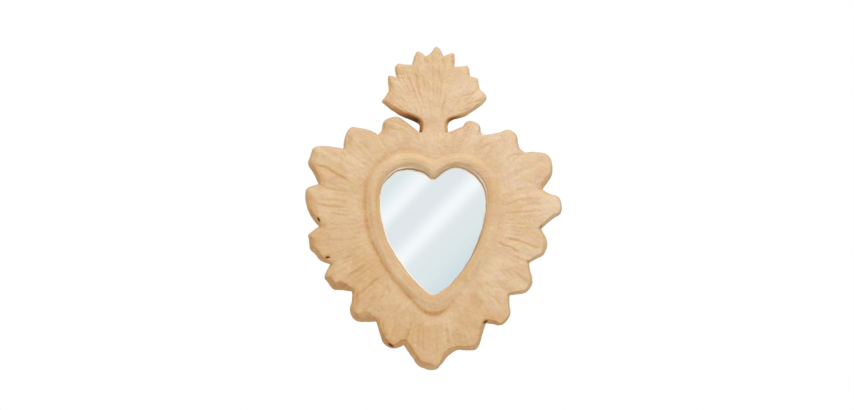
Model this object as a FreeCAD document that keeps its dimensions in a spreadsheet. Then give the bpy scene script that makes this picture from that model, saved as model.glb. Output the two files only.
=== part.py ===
import FreeCAD, Part
import math
import os

import Sketcher

# Heart-shaped wall mirror of layered kraft paper: a lobed border with a fan crest, hollow behind,
# round a recessed heart of mirror glass, closed by a board and hung from a wire ring.
# Millimetres. X runs to the right and Z up as the mirror hangs, the front faces -Y and the wall is y = 0,
# so "depth" below is the distance in front of the wall.

SIZES = {
    # heart opening: two lobe arcs, two side arcs and a rounded tip
    "lobe_rise": 37.1,
    "lobe_radius": 31.2,
    "lobe_overlap": 5.2,
    "side_radius": 120.0,
    "side_turn": 3.8,
    "tip_radius": 9.0,
    "middle_rise": 10.0,
    # depths of the layers, from the wall forwards
    "back_paper_thick": 0.8,
    "board_thick": 2.7,
    "cleat_thick": 3.0,
    "rivet_space": 1.2,
    "backer_thick": 2.0,
    "pane_thick": 2.0,
    "seat_web": 2.0,
    "bead_height": 7.0,
    # heart-shaped pieces, measured outwards from the opening
    "liner_thick": 0.8,
    "liner_height": 4.2,
    "sight_shift": 1.2,
    "sight_drop": 2.9,
    "sight_turn": 1.8,
    "bead_width": 14.0,
    "pane_lap": 5.0,
    "pane_frame_width": 6.0,
    "fit_gap": 0.2,
    "bead_spring_gap": 0.2,
    "bead_foot_drop": 0.3,
    # papier-mache shells
    "ray_length": 70.5,
    "fan_width": 114.4,
    "fan_height": 91.6,
    "edge_depth": 10.0,
    "roll_rise": 4.0,
    "roll_inset": 4.0,
    "shoulder_depth": 15.6,
    "field_depth": 18.6,
    "field_fall": 0.8,
    "foot_depth": 16.6,
    "crease_drop": 2.0,
    "neck_width": 30.8,
    "neck_rise": 29.7,
    "neck_depth": 16.6,
    "neck_flat": 16.0,
    "fan_shoulder_depth": 14.6,
    "fan_depth": 16.2,
    "fan_crease_drop": 1.4,
    "fan_root_rise": 30.0,
    "fan_spine_width": 24.0,
    "fan_spine_height": 28.0,
    "fan_ceiling": 10.6,
    # hollow behind the shells, measured outwards from the bead's foot
    "hollow_side_reach": 36.0,
    "hollow_lobe_reach": 18.8,
    "hollow_lobe_shift": 16.0,
    "hollow_lobe_drop": 5.0,
    "hollow_turn": 1.0,
    "hollow_tip_radius": 12.0,
    "ledge_width": 4.0,
    "neck_channel": 19.0,
    "fan_hollow_rise": 42.0,
    "fan_hollow_spread": 12.0,
    "fan_hollow_radius": 25.0,
    "board_gap": 0.3,
    # gummed strips behind the glass
    "tape_thick": 0.4,
    "tape_width": 14.0,
    "tape_length": 20.0,
    # hanger
    "cleat_gap": 1.5,
    "ring_wire": 1.8,
    "ring_inside": 16.0,
    "ring_leg": 7.0,
    "ring_corner": 2.0,
    "ring_play": 0.05,
    "ring_rest_gap": 0.1,
    "strap_sheet": 0.6,
    "strap_width": 12.0,
    "strap_length": 11.0,
    "window_width": 25.0,
    "window_above": 19.0,
    "window_below": 19.0,
    "cleat_margin": 9.0,
    "rivet_drop": 6.6,
    "rivet_pitch": 5.6,
    "rivet_bore": 2.5,
    "rivet_fit": 0.05,
    "rivet_head_width": 4.2,
    "rivet_head_thick": 0.8,
    "clench_thick": 0.4,
    "washer_width": 5.2,
    "washer_thick": 0.5,
}

# Rays of the border, left side first and on round the bottom: the corners of each blunt end, then the
# valley after it. A corner is a bearing in degrees, from straight up towards the left, and a reach beyond
# the bead's foot; the longest reach is ray_length.
RAYS = (
    ("left_1", ((13, 29.5), (16, 35), (19.5, 41.5), (27, 39.5), (30, 28)), (33, 27)),
    ("left_2", ((34.5, 35), (39, 44), (41.5, 51), (47.5, 46.5)), (51.5, 40.5)),
    ("left_3", ((54, 53), (58.5, 70.5), (62, 68), (66, 69.5), (68.5, 59.5)), (72.5, 53)),
    ("left_4", ((75, 65.5), (78.5, 66.5), (82, 65.5), (88, 61.5)), (93, 52.5)),
    ("left_5", ((96, 66), (98.5, 65), (103, 67.5), (106, 62), (110, 60)), (113, 51)),
    ("left_6", ((117, 64), (120, 61), (124.5, 61.5), (127, 52.5)), (131, 44.5)),
    ("left_7", ((134.5, 48.5), (136.5, 59), (142, 62.5), (147, 53)), (150.5, 46)),
    ("left_8", ((154.5, 53.5), (158, 61), (163.5, 59)), (166.5, 49.5)),
    ("bottom", ((170.5, 55.5), (174, 64.5), (180.5, 63.5), (183.5, 58), (186.5, 51)), (190.5, 51)),
    ("right_8", ((194, 56), (198.5, 62), (201, 57), (204, 49)), (207, 44)),
    ("right_7", ((210, 49.5), (212.5, 58), (219.5, 57), (222, 47)), (225.5, 42)),
    ("right_6", ((229, 48.5), (232, 56), (239, 56), (242.5, 46.5)), (246, 43)),
    ("right_5", ((250, 49), (252.5, 55.5), (260, 56.5)), (265.5, 45.5)),
    ("right_4", ((271, 56), (273, 67), (281, 64.5), (282.5, 53)), (286, 46)),
    ("right_3", ((289.5, 56), (292, 59.5), (295, 61.5), (300, 61.5), (304.5, 48.5)), (306.5, 39.5)),
    ("right_2", ((310, 35), (315.5, 45), (321, 43.5), (323, 33.5)), (329, 25)),
    ("right_1", ((331.5, 24), (334, 34.5), (341.5, 37), (343, 27)), None),
)

# Scallops of the fan, right side first and over the top: corners, then the valley after them, as the
# distance to the right of the neck's middle and the rise above the neck's seam; fan_width and fan_height
# are their extent.
SCALLOPS = (
    ("right_wing", ((14.8, 5.5), (16.5, 11.6), (23.8, 14.3), (34.4, 16.9), (46, 25), (55.5, 32.3),
                    (57.2, 39)), (49.2, 45.5)),
    ("right_3", ((47.7, 51), (47, 59)), (38.7, 59)),
    ("right_2", ((38, 72), (31, 69.4)), (22.2, 69.4)),
    ("right_1", ((23.8, 84.7), (16.4, 83)), (10.6, 80.5)),
    ("top", ((7.4, 88.4), (2, 91.6), (-2, 83.7)), (-8.5, 80.5)),
    ("left_1", ((-13.8, 86.3), (-19.6, 85.2)), (-22.8, 71.5)),
    ("left_2", ((-30.2, 71.5), (-38, 73.6), (-42.4, 67.2)), (-38.7, 57.7)),
    ("left_3", ((-46, 61), (-49.5, 58)), (-47.7, 43.4)),
    ("left_wing", ((-50.8, 37.6), (-56, 32.8), (-51.4, 29.2), (-43, 22.2), (-31.2, 15.6), (-18.5, 11.2),
                   (-13.8, 6.4)), None),
)

doc = FreeCAD.newDocument("heart_mirror")
sheet = doc.addObject("Spreadsheet::Sheet", "sizes")
for row, (alias, value) in enumerate(SIZES.items(), start=1):
    sheet.set("A%d" % row, alias)
    sheet.set("B%d" % row, str(value))
    sheet.setAlias("B%d" % row, alias)
doc.recompute()


def size(alias):
    """Value of one cell of the size sheet."""
    return float(getattr(sheet, alias))


# Depths where one layer ends and the next begins, as sums of the layers' thicknesses.
LOBE_SPREAD = "(sizes.lobe_radius - sizes.lobe_overlap)"
BOARD_FRONT = "(sizes.back_paper_thick + sizes.board_thick)"
CLEAT_FRONT = "(%s + sizes.cleat_thick)" % BOARD_FRONT
BACKER_BACK = "(%s + sizes.rivet_space)" % CLEAT_FRONT
PANE_BACK = "(%s + sizes.backer_thick)" % BACKER_BACK
PANE_FRONT = "(%s + sizes.pane_thick)" % PANE_BACK
BEAD_SEAT = "(%s + sizes.seat_web)" % PANE_FRONT
BORE_WALL = "(sizes.liner_thick + sizes.fit_gap)"
STRAP_EYE = "(sizes.ring_wire / 2 + sizes.ring_play + sizes.strap_sheet)"

# Height of the ring's bar: the cleat's top edge stays clear of the notch in the hollow's core.
RING_RISE = ("(sizes.lobe_rise - sizes.hollow_lobe_drop"
             " + sqrt((sizes.lobe_radius + sizes.bead_width + sizes.hollow_lobe_reach - sizes.ledge_width)^2"
             " - (sizes.lobe_radius - sizes.lobe_overlap + sizes.hollow_lobe_shift)^2)"
             " - sizes.cleat_gap - sizes.cleat_margin - sizes.window_above)")


def evaluate(expression):
    """Value of an expression over the size sheet."""
    return float(sheet.evalExpression(expression))


ring_rise = evaluate(RING_RISE)
board_front = size("back_paper_thick") + size("board_thick")
cleat_front = board_front + size("cleat_thick")
backer_back = cleat_front + size("rivet_space")
pane_front = backer_back + size("backer_thick") + size("pane_thick")
bead_seat = pane_front + size("seat_web")
eye_radius = size("ring_wire") / 2 + size("ring_play") + size("strap_sheet")


def side_centre(lobe_x, lobe_z, lobe_r, side_r, turn):
    """Centre of the arc that touches a lobe from outside, turn degrees above the lobe's level."""
    reach = side_r - lobe_r
    angle = math.radians(turn)
    return lobe_x - reach * math.cos(angle), lobe_z - reach * math.sin(angle)


def heart_arcs(spread):
    """Centre x, centre z and radius of the opening's right lobe, right side and tip, grown by spread."""
    lobe_x, lobe_z, lobe_r = evaluate(LOBE_SPREAD), size("lobe_rise"), size("lobe_radius")
    side_r, tip_r = size("side_radius"), size("tip_radius")
    side_x, side_z = side_centre(lobe_x, lobe_z, lobe_r, side_r, size("side_turn"))
    tip_z = side_z - math.sqrt((side_r - tip_r) ** 2 - side_x ** 2)
    lobe = (lobe_x, lobe_z, lobe_r + spread)
    side = (side_x, side_z, side_r + spread)
    return lobe, side, (0.0, tip_z, tip_r + spread)


def foot_point(bearing, reach):
    """Point reach beyond the bead's foot on a bearing from the heart's middle; x and z."""
    angle = math.radians(bearing)
    right, up = abs(math.sin(angle)), math.cos(angle)
    lobe, side, tip = heart_arcs(size("bead_width"))
    turn = math.radians(size("side_turn"))
    join_x = lobe[0] + lobe[2] * math.cos(turn)
    join_z = lobe[1] + lobe[2] * math.sin(turn)
    above = right * (join_z - size("middle_rise")) < up * join_x
    centre_x, centre_z, radius = lobe if above else side
    from_x, from_z = -centre_x, size("middle_rise") - centre_z
    along = from_x * right + from_z * up
    distance = -along + math.sqrt(along ** 2 - from_x ** 2 - from_z ** 2 + radius ** 2) + reach
    return -distance * math.sin(angle), size("middle_rise") + distance * up


lobe_foot = heart_arcs(size("bead_width"))[0]
foot_notch = lobe_foot[1] + math.sqrt(lobe_foot[2] ** 2 - lobe_foot[0] ** 2)
seam_rise = foot_notch + size("neck_rise")
neck_half = size("neck_width") / 2
SEAM_RISE = ("(sizes.lobe_rise + sqrt((sizes.lobe_radius + sizes.bead_width)^2 - %s^2) + sizes.neck_rise)"
             % LOBE_SPREAD)


def spline_knots(count):
    """Knots and multiplicities of a clamped quadratic spline with count poles."""
    return list(range(count - 1)), [3] + [1] * (count - 3) + [3]


def spline_edge(poles):
    """Edge along a clamped quadratic spline."""
    knots, mults = spline_knots(len(poles))
    curve = Part.BSplineCurve()
    curve.buildFromPolesMultsKnots(poles, mults, knots, False, 2)
    return curve.toShape()


def spline_face(columns):
    """Face over a net of poles, quadratic both ways."""
    knots_u, mults_u = spline_knots(len(columns))
    knots_v, mults_v = spline_knots(len(columns[0]))
    surface = Part.BSplineSurface()
    surface.buildFromPolesMultsKnots(columns, mults_u, mults_v, knots_u, knots_v, False, False, 2, 2)
    return surface.toShape()


def wall_face(poles):
    """Side wall from an edge of the relief straight back to the wall plane."""
    knots, mults = spline_knots(len(poles))
    columns = [[pole, FreeCAD.Vector(pole.x, 0, pole.z)] for pole in poles]
    surface = Part.BSplineSurface()
    surface.buildFromPolesMultsKnots(columns, mults, [2, 2], knots, [0, 1], False, False, 2, 1)
    return surface.toShape()


def relief_solid(patches):
    """Solid with the pleated patches as its front, straight side walls and a flat back at the wall plane."""
    nets = [[[FreeCAD.Vector(x, -depth, z) for x, z, depth in column] for column in patch]
            for patch in patches]
    faces = [spline_face(net) for net in nets]
    faces += [wall_face([column[0] for column in net]) for net in nets]
    rim = [[FreeCAD.Vector(column[0].x, 0, column[0].z) for column in net] for net in nets]
    crown = [[column[-1] for column in net] for net in nets]
    faces.append(Part.Face(Part.Wire([spline_edge(poles) for poles in rim])))
    faces.append(Part.Face(Part.Wire([spline_edge(poles) for poles in crown])))
    shell = Part.Shell(faces)
    shell.sewShape()
    solid = Part.Solid(shell)
    if solid.Volume < 0:
        solid.reverse()
    return solid


def inset_point(before, here, after, root):
    """Where the edge's roll ends: in from a corner of an anticlockwise outline, leaning to its root."""
    first = FreeCAD.Vector(before[1] - here[1], here[0] - before[0], 0).normalize()
    second = FreeCAD.Vector(here[1] - after[1], after[0] - here[0], 0).normalize()
    square = (first + second).normalize()
    straight = FreeCAD.Vector(root[0] - here[0], root[1] - here[1], 0).normalize()
    step = (square * 0.6 + straight * 0.4).normalize() * size("roll_inset")
    return here[0] + step.x, here[1] + step.y


def between(start, end, share):
    """Point a share of the way from start to end."""
    return start[0] + (end[0] - start[0]) * share, start[1] + (end[1] - start[1]) * share


def outline_columns(lobes, first_valley, last_valley):
    """Outline corners per lobe, each list from the valley before it to the valley after it."""
    columns = []
    valley = first_valley
    for corners, after in lobes:
        end = last_valley if after is None else after
        columns.append([valley] + list(corners) + [end])
        valley = end
    return columns


def ray_column(before, here, after, root, in_valley):
    """Poles of one line of the border, from the edge of a ray or valley over the roll and in to the bead."""
    inset = inset_point(before, here, after, root)
    drop = size("crease_drop") if in_valley else 0.0
    edge, roll = size("edge_depth"), size("roll_rise")
    middle = between(here, root, 0.45)
    near = between(here, root, 0.8)
    return [
        (here[0], here[1], edge),
        (here[0], here[1], edge + roll * (0.5 if in_valley else 1.0)),
        (inset[0], inset[1], size("shoulder_depth") - drop * 0.7),
        (middle[0], middle[1], size("field_depth") - drop),
        (near[0], near[1], size("field_depth") - size("field_fall") - drop * 0.5),
        (root[0], root[1], size("foot_depth")),
    ]


def ray_patches():
    """Pole nets of the border's rays, left of the neck round to its right, and of the root of the neck."""
    left, right = (-neck_half, seam_rise), (neck_half, seam_rise)
    longest = max(reach for name, corners, valley in RAYS for bearing, reach in corners)
    stretch = size("ray_length") / longest

    def ray_point(bearing, reach):
        return foot_point(bearing, reach * stretch)

    lobes = [([ray_point(*corner) for corner in corners], valley and ray_point(*valley))
             for name, corners, valley in RAYS]
    outlines = outline_columns(lobes, left, right)
    # the poles end inside the bead's seat, so the seat's wall trims them
    root_reach = -size("bead_width") / 2
    patches = []
    for number, outline in enumerate(outlines):
        earlier = outlines[number - 1][-2] if number else (0.0, seam_rise)
        later = outlines[number + 1][1] if number + 1 < len(outlines) else (0.0, seam_rise)
        ring = [earlier] + outline + [later]
        net = []
        for place in range(1, len(ring) - 1):
            x, z = ring[place]
            bearing = math.degrees(math.atan2(-x, z - size("middle_rise")))
            in_valley = place in (1, len(ring) - 2)
            root = foot_point(bearing, root_reach)
            net.append(ray_column(ring[place - 1], ring[place], ring[place + 1], root, in_valley))
        patches.append(net)
    flat = size("neck_flat") / 2
    neck = [patches[-1][-1]]
    for x in (flat, -flat):
        bearing = math.degrees(math.atan2(-x, seam_rise - size("middle_rise")))
        root = foot_point(bearing, root_reach)
        steps = [between((x, seam_rise), root, share) for share in (0, 0.1, 0.25, 0.5, 0.75, 1)]
        depths = [size("neck_depth")] * 5 + [size("foot_depth")]
        neck.append([(step[0], step[1], depth) for step, depth in zip(steps, depths)])
    neck.append(patches[0][0])
    return patches + [neck]


def fan_column(before, here, after, in_valley):
    """Poles of one pleat line of the fan, from its scalloped edge in to the spine above the neck."""
    spine = spine_point(here)
    inset = inset_point(before, here, after, spine)
    drop = size("fan_crease_drop") if in_valley else 0.0
    edge, roll = size("edge_depth"), size("roll_rise")
    middle = between(here, spine, 0.45)
    return [
        (here[0], here[1], edge),
        (here[0], here[1], edge + roll * (0.5 if in_valley else 1.0)),
        (inset[0], inset[1], size("fan_shoulder_depth") - drop * 0.7),
        (middle[0], middle[1], size("fan_depth") - drop),
        (spine[0], spine[1], size("neck_depth")),
    ]


def spine_point(here):
    """Foot on the flat spine of the pleat line that starts at a point of the fan's outline."""
    root = seam_rise + size("fan_root_rise")
    return (here[0] * size("fan_spine_width") / size("fan_width"),
            root + (here[1] - root) * size("fan_spine_height") / size("fan_height"))


def fan_patches():
    """Pole nets of the fan's scallops, right of the neck over the top to its left, and of the neck's end."""
    left, right = (-neck_half, seam_rise), (neck_half, seam_rise)
    every = [corner for name, corners, valley in SCALLOPS for corner in corners]
    across = size("fan_width") / 2 / max(abs(x) for x, rise in every)
    upward = size("fan_height") / max(rise for x, rise in every)

    def fan_point(x, rise):
        return x * across, seam_rise + rise * upward

    lobes = [([fan_point(*corner) for corner in corners], valley and fan_point(*valley))
             for name, corners, valley in SCALLOPS]
    outlines = outline_columns(lobes, right, left)
    patches = []
    for number, outline in enumerate(outlines):
        earlier = outlines[number - 1][-2] if number else (0.0, seam_rise)
        later = outlines[number + 1][1] if number + 1 < len(outlines) else (0.0, seam_rise)
        ring = [earlier] + outline + [later]
        net = []
        for place in range(1, len(ring) - 1):
            in_valley = place in (1, len(ring) - 2)
            net.append(fan_column(ring[place - 1], ring[place], ring[place + 1], in_valley))
        patches.append(net)
    flat = size("neck_flat") / 2
    neck = [patches[-1][-1]]
    for x in (-flat, flat):
        spine = spine_point((x, seam_rise))
        steps = [between((x, seam_rise), spine, share) for share in (0, 0.1, 0.25, 0.6, 1)]
        neck.append([(step[0], step[1], size("neck_depth")) for step in steps])
    neck.append(patches[0][0])
    return patches + [neck]


def new_body(label):
    """Body for one piece."""
    body = doc.addObject("PartDesign::Body", label)
    body.Label = label
    return body


def front_sketch(body, name, depth, role="XZ_Plane"):
    """Sketch parallel to the wall at a depth; its x is X and its y is Z."""
    sketch = body.newObject("Sketcher::SketchObject", name)
    plane = [part for part in body.Origin.OriginFeatures if part.Role == role][0]
    sketch.AttachmentSupport = [(plane, "")]
    sketch.MapMode = "FlatFace"
    sketch.setExpression(".AttachmentOffset.Base.z", depth)
    return sketch


def named(sketch, expression, kind, *where):
    """Dimension in a sketch that follows an expression over the size sheet."""
    index = sketch.addConstraint(Sketcher.Constraint(kind, *where, evaluate(expression)))
    sketch.setExpression("Constraints[%d]" % index, expression)


def arc(sketch, centre, radius, start, end):
    """Arc between two points, anticlockwise about its centre; the index of its geometry."""
    angles = [math.atan2(point[1] - centre[1], point[0] - centre[0]) for point in (start, end)]
    if angles[1] <= angles[0]:
        angles[1] += 2 * math.pi
    circle = Part.Circle(FreeCAD.Vector(centre[0], centre[1], 0), FreeCAD.Vector(0, 0, 1), radius)
    return sketch.addGeometry(Part.ArcOfCircle(circle, angles[0], angles[1]), False)


def heart_sketch(sketch, lobe_x, lobe_z, lobe_r, side_r, tip_r, turn):
    """Heart of two lobe arcs, two side arcs and a tip arc, each tangent to the next but for the notch."""
    side_z = "%s - (%s - %s) * sin(%s * 1 deg)" % (lobe_z, side_r, lobe_r, turn)
    lobe = (evaluate(lobe_x), evaluate(lobe_z))
    radii = (evaluate(lobe_r), evaluate(side_r), evaluate(tip_r))
    side = side_centre(lobe[0], lobe[1], radii[0], radii[1], evaluate(turn))
    tip = (0.0, side[1] - math.sqrt((radii[1] - radii[2]) ** 2 - side[0] ** 2))
    notch = (0.0, lobe[1] + math.sqrt(radii[0] ** 2 - lobe[0] ** 2))
    angle = math.radians(evaluate(turn))
    join = (lobe[0] + radii[0] * math.cos(angle), lobe[1] + radii[0] * math.sin(angle))
    fall = FreeCAD.Vector(tip[0] - side[0], tip[1] - side[1], 0).normalize()
    foot = (tip[0] + fall.x * radii[2], tip[1] + fall.y * radii[2])

    def mirrored(point):
        return -point[0], point[1]

    right_lobe = arc(sketch, lobe, radii[0], join, notch)
    right_side = arc(sketch, side, radii[1], foot, join)
    tip_arc = arc(sketch, tip, radii[2], mirrored(foot), foot)
    left_side = arc(sketch, mirrored(side), radii[1], mirrored(join), mirrored(foot))
    left_lobe = arc(sketch, mirrored(lobe), radii[0], notch, mirrored(join))
    sketch.addConstraint([
        Sketcher.Constraint("Tangent", right_lobe, 1, right_side, 2),
        Sketcher.Constraint("Tangent", right_side, 1, tip_arc, 2),
        Sketcher.Constraint("Tangent", tip_arc, 1, left_side, 2),
        Sketcher.Constraint("Tangent", left_side, 1, left_lobe, 2),
        Sketcher.Constraint("Coincident", right_lobe, 2, left_lobe, 1),
        Sketcher.Constraint("Symmetric", right_lobe, 3, left_lobe, 3, -2),
        Sketcher.Constraint("Equal", right_lobe, left_lobe),
        Sketcher.Constraint("Equal", right_side, left_side),
        Sketcher.Constraint("PointOnObject", tip_arc, 3, -2),
    ])
    named(sketch, lobe_x, "DistanceX", -1, 1, right_lobe, 3)
    named(sketch, lobe_z, "DistanceY", -1, 1, right_lobe, 3)
    named(sketch, lobe_r, "Radius", right_lobe)
    named(sketch, side_r, "Radius", right_side)
    named(sketch, tip_r, "Radius", tip_arc)
    named(sketch, side_z, "DistanceY", -1, 1, right_side, 3)


def opening_heart(sketch, spread):
    """Opening's heart grown outwards by an expression."""
    heart_sketch(sketch, LOBE_SPREAD, "sizes.lobe_rise", "(sizes.lobe_radius + %s)" % spread,
                 "(sizes.side_radius + %s)" % spread, "(sizes.tip_radius + %s)" % spread, "sizes.side_turn")


def hollow_heart(sketch, inset):
    """Heart of the hollow behind the border, drawn in by an expression."""
    lobe_r = "(sizes.lobe_radius + sizes.bead_width + sizes.hollow_lobe_reach - %s)" % inset
    side_r = "(sizes.side_radius + sizes.bead_width + sizes.hollow_side_reach - %s)" % inset
    heart_sketch(sketch, "(%s + sizes.hollow_lobe_shift)" % LOBE_SPREAD,
                 "(sizes.lobe_rise - sizes.hollow_lobe_drop)", lobe_r, side_r,
                 "(sizes.hollow_tip_radius - %s)" % inset, "sizes.hollow_turn")


def box_sketch(sketch, left, right, low, high):
    """Rectangle with each side set by an expression from the middle of the heart."""
    x0, x1, z0, z1 = (evaluate(side) for side in (left, right, low, high))
    corners = [FreeCAD.Vector(*point, 0) for point in ((x0, z0), (x1, z0), (x1, z1), (x0, z1))]
    lines = [sketch.addGeometry(Part.LineSegment(corners[i], corners[(i + 1) % 4]), False) for i in range(4)]
    for i in range(4):
        sketch.addConstraint(Sketcher.Constraint("Coincident", lines[i], 2, lines[(i + 1) % 4], 1))
        sketch.addConstraint(Sketcher.Constraint("Vertical" if i % 2 else "Horizontal", lines[i]))
    named(sketch, left, "DistanceX", -1, 1, lines[0], 1)
    named(sketch, right, "DistanceX", -1, 1, lines[0], 2)
    named(sketch, low, "DistanceY", -1, 1, lines[0], 1)
    named(sketch, high, "DistanceY", -1, 1, lines[2], 1)


def slot_sketch(sketch, spread, rise, radius):
    """Round-ended slot across the middle, its ends centred at spread to either side."""
    half, height, round_end = evaluate(spread), evaluate(rise), evaluate(radius)
    low, high = height - round_end, height + round_end
    right = arc(sketch, (half, height), round_end, (half, low), (half, high))
    left = arc(sketch, (-half, height), round_end, (-half, high), (-half, low))
    point = FreeCAD.Vector
    top = sketch.addGeometry(Part.LineSegment(point(half, high, 0), point(-half, high, 0)), False)
    base = sketch.addGeometry(Part.LineSegment(point(-half, low, 0), point(half, low, 0)), False)
    sketch.addConstraint([
        Sketcher.Constraint("Tangent", right, 2, top, 1),
        Sketcher.Constraint("Tangent", top, 2, left, 1),
        Sketcher.Constraint("Tangent", left, 2, base, 1),
        Sketcher.Constraint("Tangent", base, 2, right, 1),
        Sketcher.Constraint("Symmetric", right, 3, left, 3, -2),
    ])
    named(sketch, spread, "DistanceX", -1, 1, right, 3)
    named(sketch, rise, "DistanceY", -1, 1, right, 3)
    named(sketch, radius, "Radius", right)


def pad(body, sketch, thickness):
    """Pad of a sketch forwards from its depth."""
    feature = body.newObject("PartDesign::Pad", sketch.Name + "_pad")
    feature.Profile = sketch
    feature.setExpression("Length", thickness)
    doc.recompute()
    return feature


def pocket(body, sketch):
    """Hole right through a body in the shape of a sketch."""
    feature = body.newObject("PartDesign::Pocket", sketch.Name + "_pocket")
    feature.Profile = sketch
    feature.Type = "ThroughAll"
    feature.Midplane = True
    doc.recompute()
    return feature


def hollow_outline(body, name, depth, thickness, inset, fan_thickness):
    """Heart, neck strip and fan slot that follow the hollow, drawn in by an expression."""
    heart = front_sketch(body, name + "_heart", depth)
    hollow_heart(heart, inset)
    pad(body, heart, thickness)
    fan_rise = "(%s + sizes.fan_hollow_rise)" % SEAM_RISE
    half = "(sizes.neck_channel / 2 - %s)" % inset
    neck = front_sketch(body, name + "_neck", depth)
    box_sketch(neck, "-%s" % half, half, "(sizes.lobe_rise)", fan_rise)
    pad(body, neck, fan_thickness)
    fan = front_sketch(body, name + "_fan", depth)
    slot_sketch(fan, "sizes.fan_hollow_spread", fan_rise, "(sizes.fan_hollow_radius - %s)" % inset)
    pad(body, fan, fan_thickness)


def hollow_tool():
    """Space behind the shells: a rebate for paper and board, and a deeper core in front of its ledge."""
    body = new_body("hollow")
    hollow_outline(body, "rebate", "0", BOARD_FRONT, "0", BOARD_FRONT)
    hollow_outline(body, "core", BOARD_FRONT, "%s - %s" % (PANE_FRONT, BOARD_FRONT), "sizes.ledge_width",
                   "sizes.fan_ceiling - %s" % BOARD_FRONT)
    return body


def heart_plate(label, depth, thickness, spread):
    """Flat heart as large as the opening grown by an expression."""
    body = new_body(label)
    sketch = front_sketch(body, label + "_outline", depth)
    opening_heart(sketch, spread)
    pad(body, sketch, thickness)
    return body


def heart_ring(label, depth, thickness, outer, inner):
    """Flat heart-shaped ring between two growths of the opening."""
    body = heart_plate(label, depth, thickness, outer)
    sketch = front_sketch(body, label + "_hole", depth)
    opening_heart(sketch, inner)
    pocket(body, sketch)
    return body


def feature(label, shape):
    """Piece whose shape is worked out here."""
    piece = doc.addObject("Part::Feature", label)
    piece.Label = label
    piece.Shape = shape
    return piece


def cut(label, base, tools):
    """Base with several tools taken out of it."""
    fused = doc.addObject("Part::MultiFuse", label + "_tools")
    fused.Shapes = tools
    piece = doc.addObject("Part::Cut", label)
    piece.Label = label
    piece.Base = base
    piece.Tool = fused
    doc.recompute()
    return piece


def shells():
    """Ray border and fan crest, hollowed from behind, and in the border the bead's seat and the opening."""
    hollow = hollow_tool()
    seat = heart_plate("bead_seat", BEAD_SEAT, "sizes.bead_height * 2", "(sizes.bead_width + sizes.fit_gap)")
    hole = heart_plate("shell_hole", "0", "%s + sizes.bead_height" % BEAD_SEAT, BORE_WALL)
    border = cut("ray_border", feature("ray_relief", relief_solid(ray_patches())), [hollow, seat, hole])
    crest_hollow = doc.addObject("Part::Cut", "fan_crest")
    crest_hollow.Label = "fan_crest"
    crest_hollow.Base = feature("fan_relief", relief_solid(fan_patches()))
    crest_hollow.Tool = hollow
    doc.recompute()
    return [border, crest_hollow]


def opening_bead():
    """Bead of rolled paper: its section carried round each arc of the heart and mitred at the notch."""
    inner = size("liner_thick") + size("fit_gap")
    outer = size("bead_width")
    floor, crest = bead_seat, bead_seat + size("bead_height")
    inner_spring = floor + size("liner_height") - size("seat_web") + size("bead_spring_gap")
    foot_spring = size("foot_depth") - size("bead_foot_drop")
    crown = inner + (outer - inner) * 0.42

    def section(centre_x, centre_z, radius, angle):
        out = FreeCAD.Vector(math.cos(angle), 0, math.sin(angle))
        centre = FreeCAD.Vector(centre_x, 0, centre_z)

        def place(spread, depth):
            return centre + out * (radius + spread) + FreeCAD.Vector(0, -depth, 0)

        quarter = math.sqrt(0.5)
        rise = place(crown - (crown - inner) * quarter, inner_spring + (crest - inner_spring) * quarter)
        fall = place(crown + (outer - crown) * quarter, foot_spring + (crest - foot_spring) * quarter)
        edges = [
            Part.makeLine(place(outer, floor), place(inner, floor)),
            Part.makeLine(place(inner, floor), place(inner, inner_spring)),
            Part.Arc(place(inner, inner_spring), rise, place(crown, crest)).toShape(),
            Part.Arc(place(crown, crest), fall, place(outer, foot_spring)).toShape(),
            Part.makeLine(place(outer, foot_spring), place(outer, floor)),
        ]
        return Part.Face(Part.Wire(edges))

    lobe, side, tip = heart_arcs(0.0)
    turn = size("side_turn")
    fall_angle = math.degrees(math.atan2(tip[1] - side[1], tip[0] - side[0]))
    axis = FreeCAD.Vector(0, -1, 0)
    lobe_piece = section(*lobe, math.radians(turn)).revolve(
        FreeCAD.Vector(lobe[0], 0, lobe[1]), axis, 170 - turn)
    reach = 4 * size("side_radius")
    right_half = Part.makeBox(reach, reach, reach, FreeCAD.Vector(0, -reach / 2, -reach / 2))
    lobe_piece = lobe_piece.common(right_half)
    side_piece = section(*side, math.radians(fall_angle)).revolve(
        FreeCAD.Vector(side[0], 0, side[1]), axis, turn - fall_angle)
    tip_piece = section(*tip, math.radians(-90)).revolve(
        FreeCAD.Vector(tip[0], 0, tip[1]), axis, 90 + fall_angle)
    half = lobe_piece.fuse([side_piece, tip_piece])
    other = half.mirror(FreeCAD.Vector(0, 0, 0), FreeCAD.Vector(1, 0, 0))
    return feature("opening_bead", half.fuse(other).removeSplitter().Solids[0])


def opening_liner():
    """Liner of the opening: its outside follows the bore, and its inside slopes from the bead's lip down to
    the sight line on the glass, whose lobes are lower and a little closer together than the opening's."""
    liner = heart_plate("opening_liner", PANE_FRONT, "sizes.liner_height", "sizes.liner_thick")
    lip = front_sketch(liner, "liner_lip", "%s + sizes.liner_height" % PANE_FRONT)
    opening_heart(lip, "0")
    sight = front_sketch(liner, "liner_sight", PANE_FRONT)
    heart_sketch(sight, "(%s - sizes.sight_shift)" % LOBE_SPREAD, "(sizes.lobe_rise - sizes.sight_drop)",
                 "sizes.lobe_radius", "sizes.side_radius", "sizes.tip_radius",
                 "(sizes.side_turn - sizes.sight_turn)")
    slope = liner.newObject("PartDesign::SubtractiveLoft", "liner_slope")
    slope.Profile = lip
    slope.Sections = [sight]
    slope.Ruled = True
    doc.recompute()
    return liner


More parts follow.
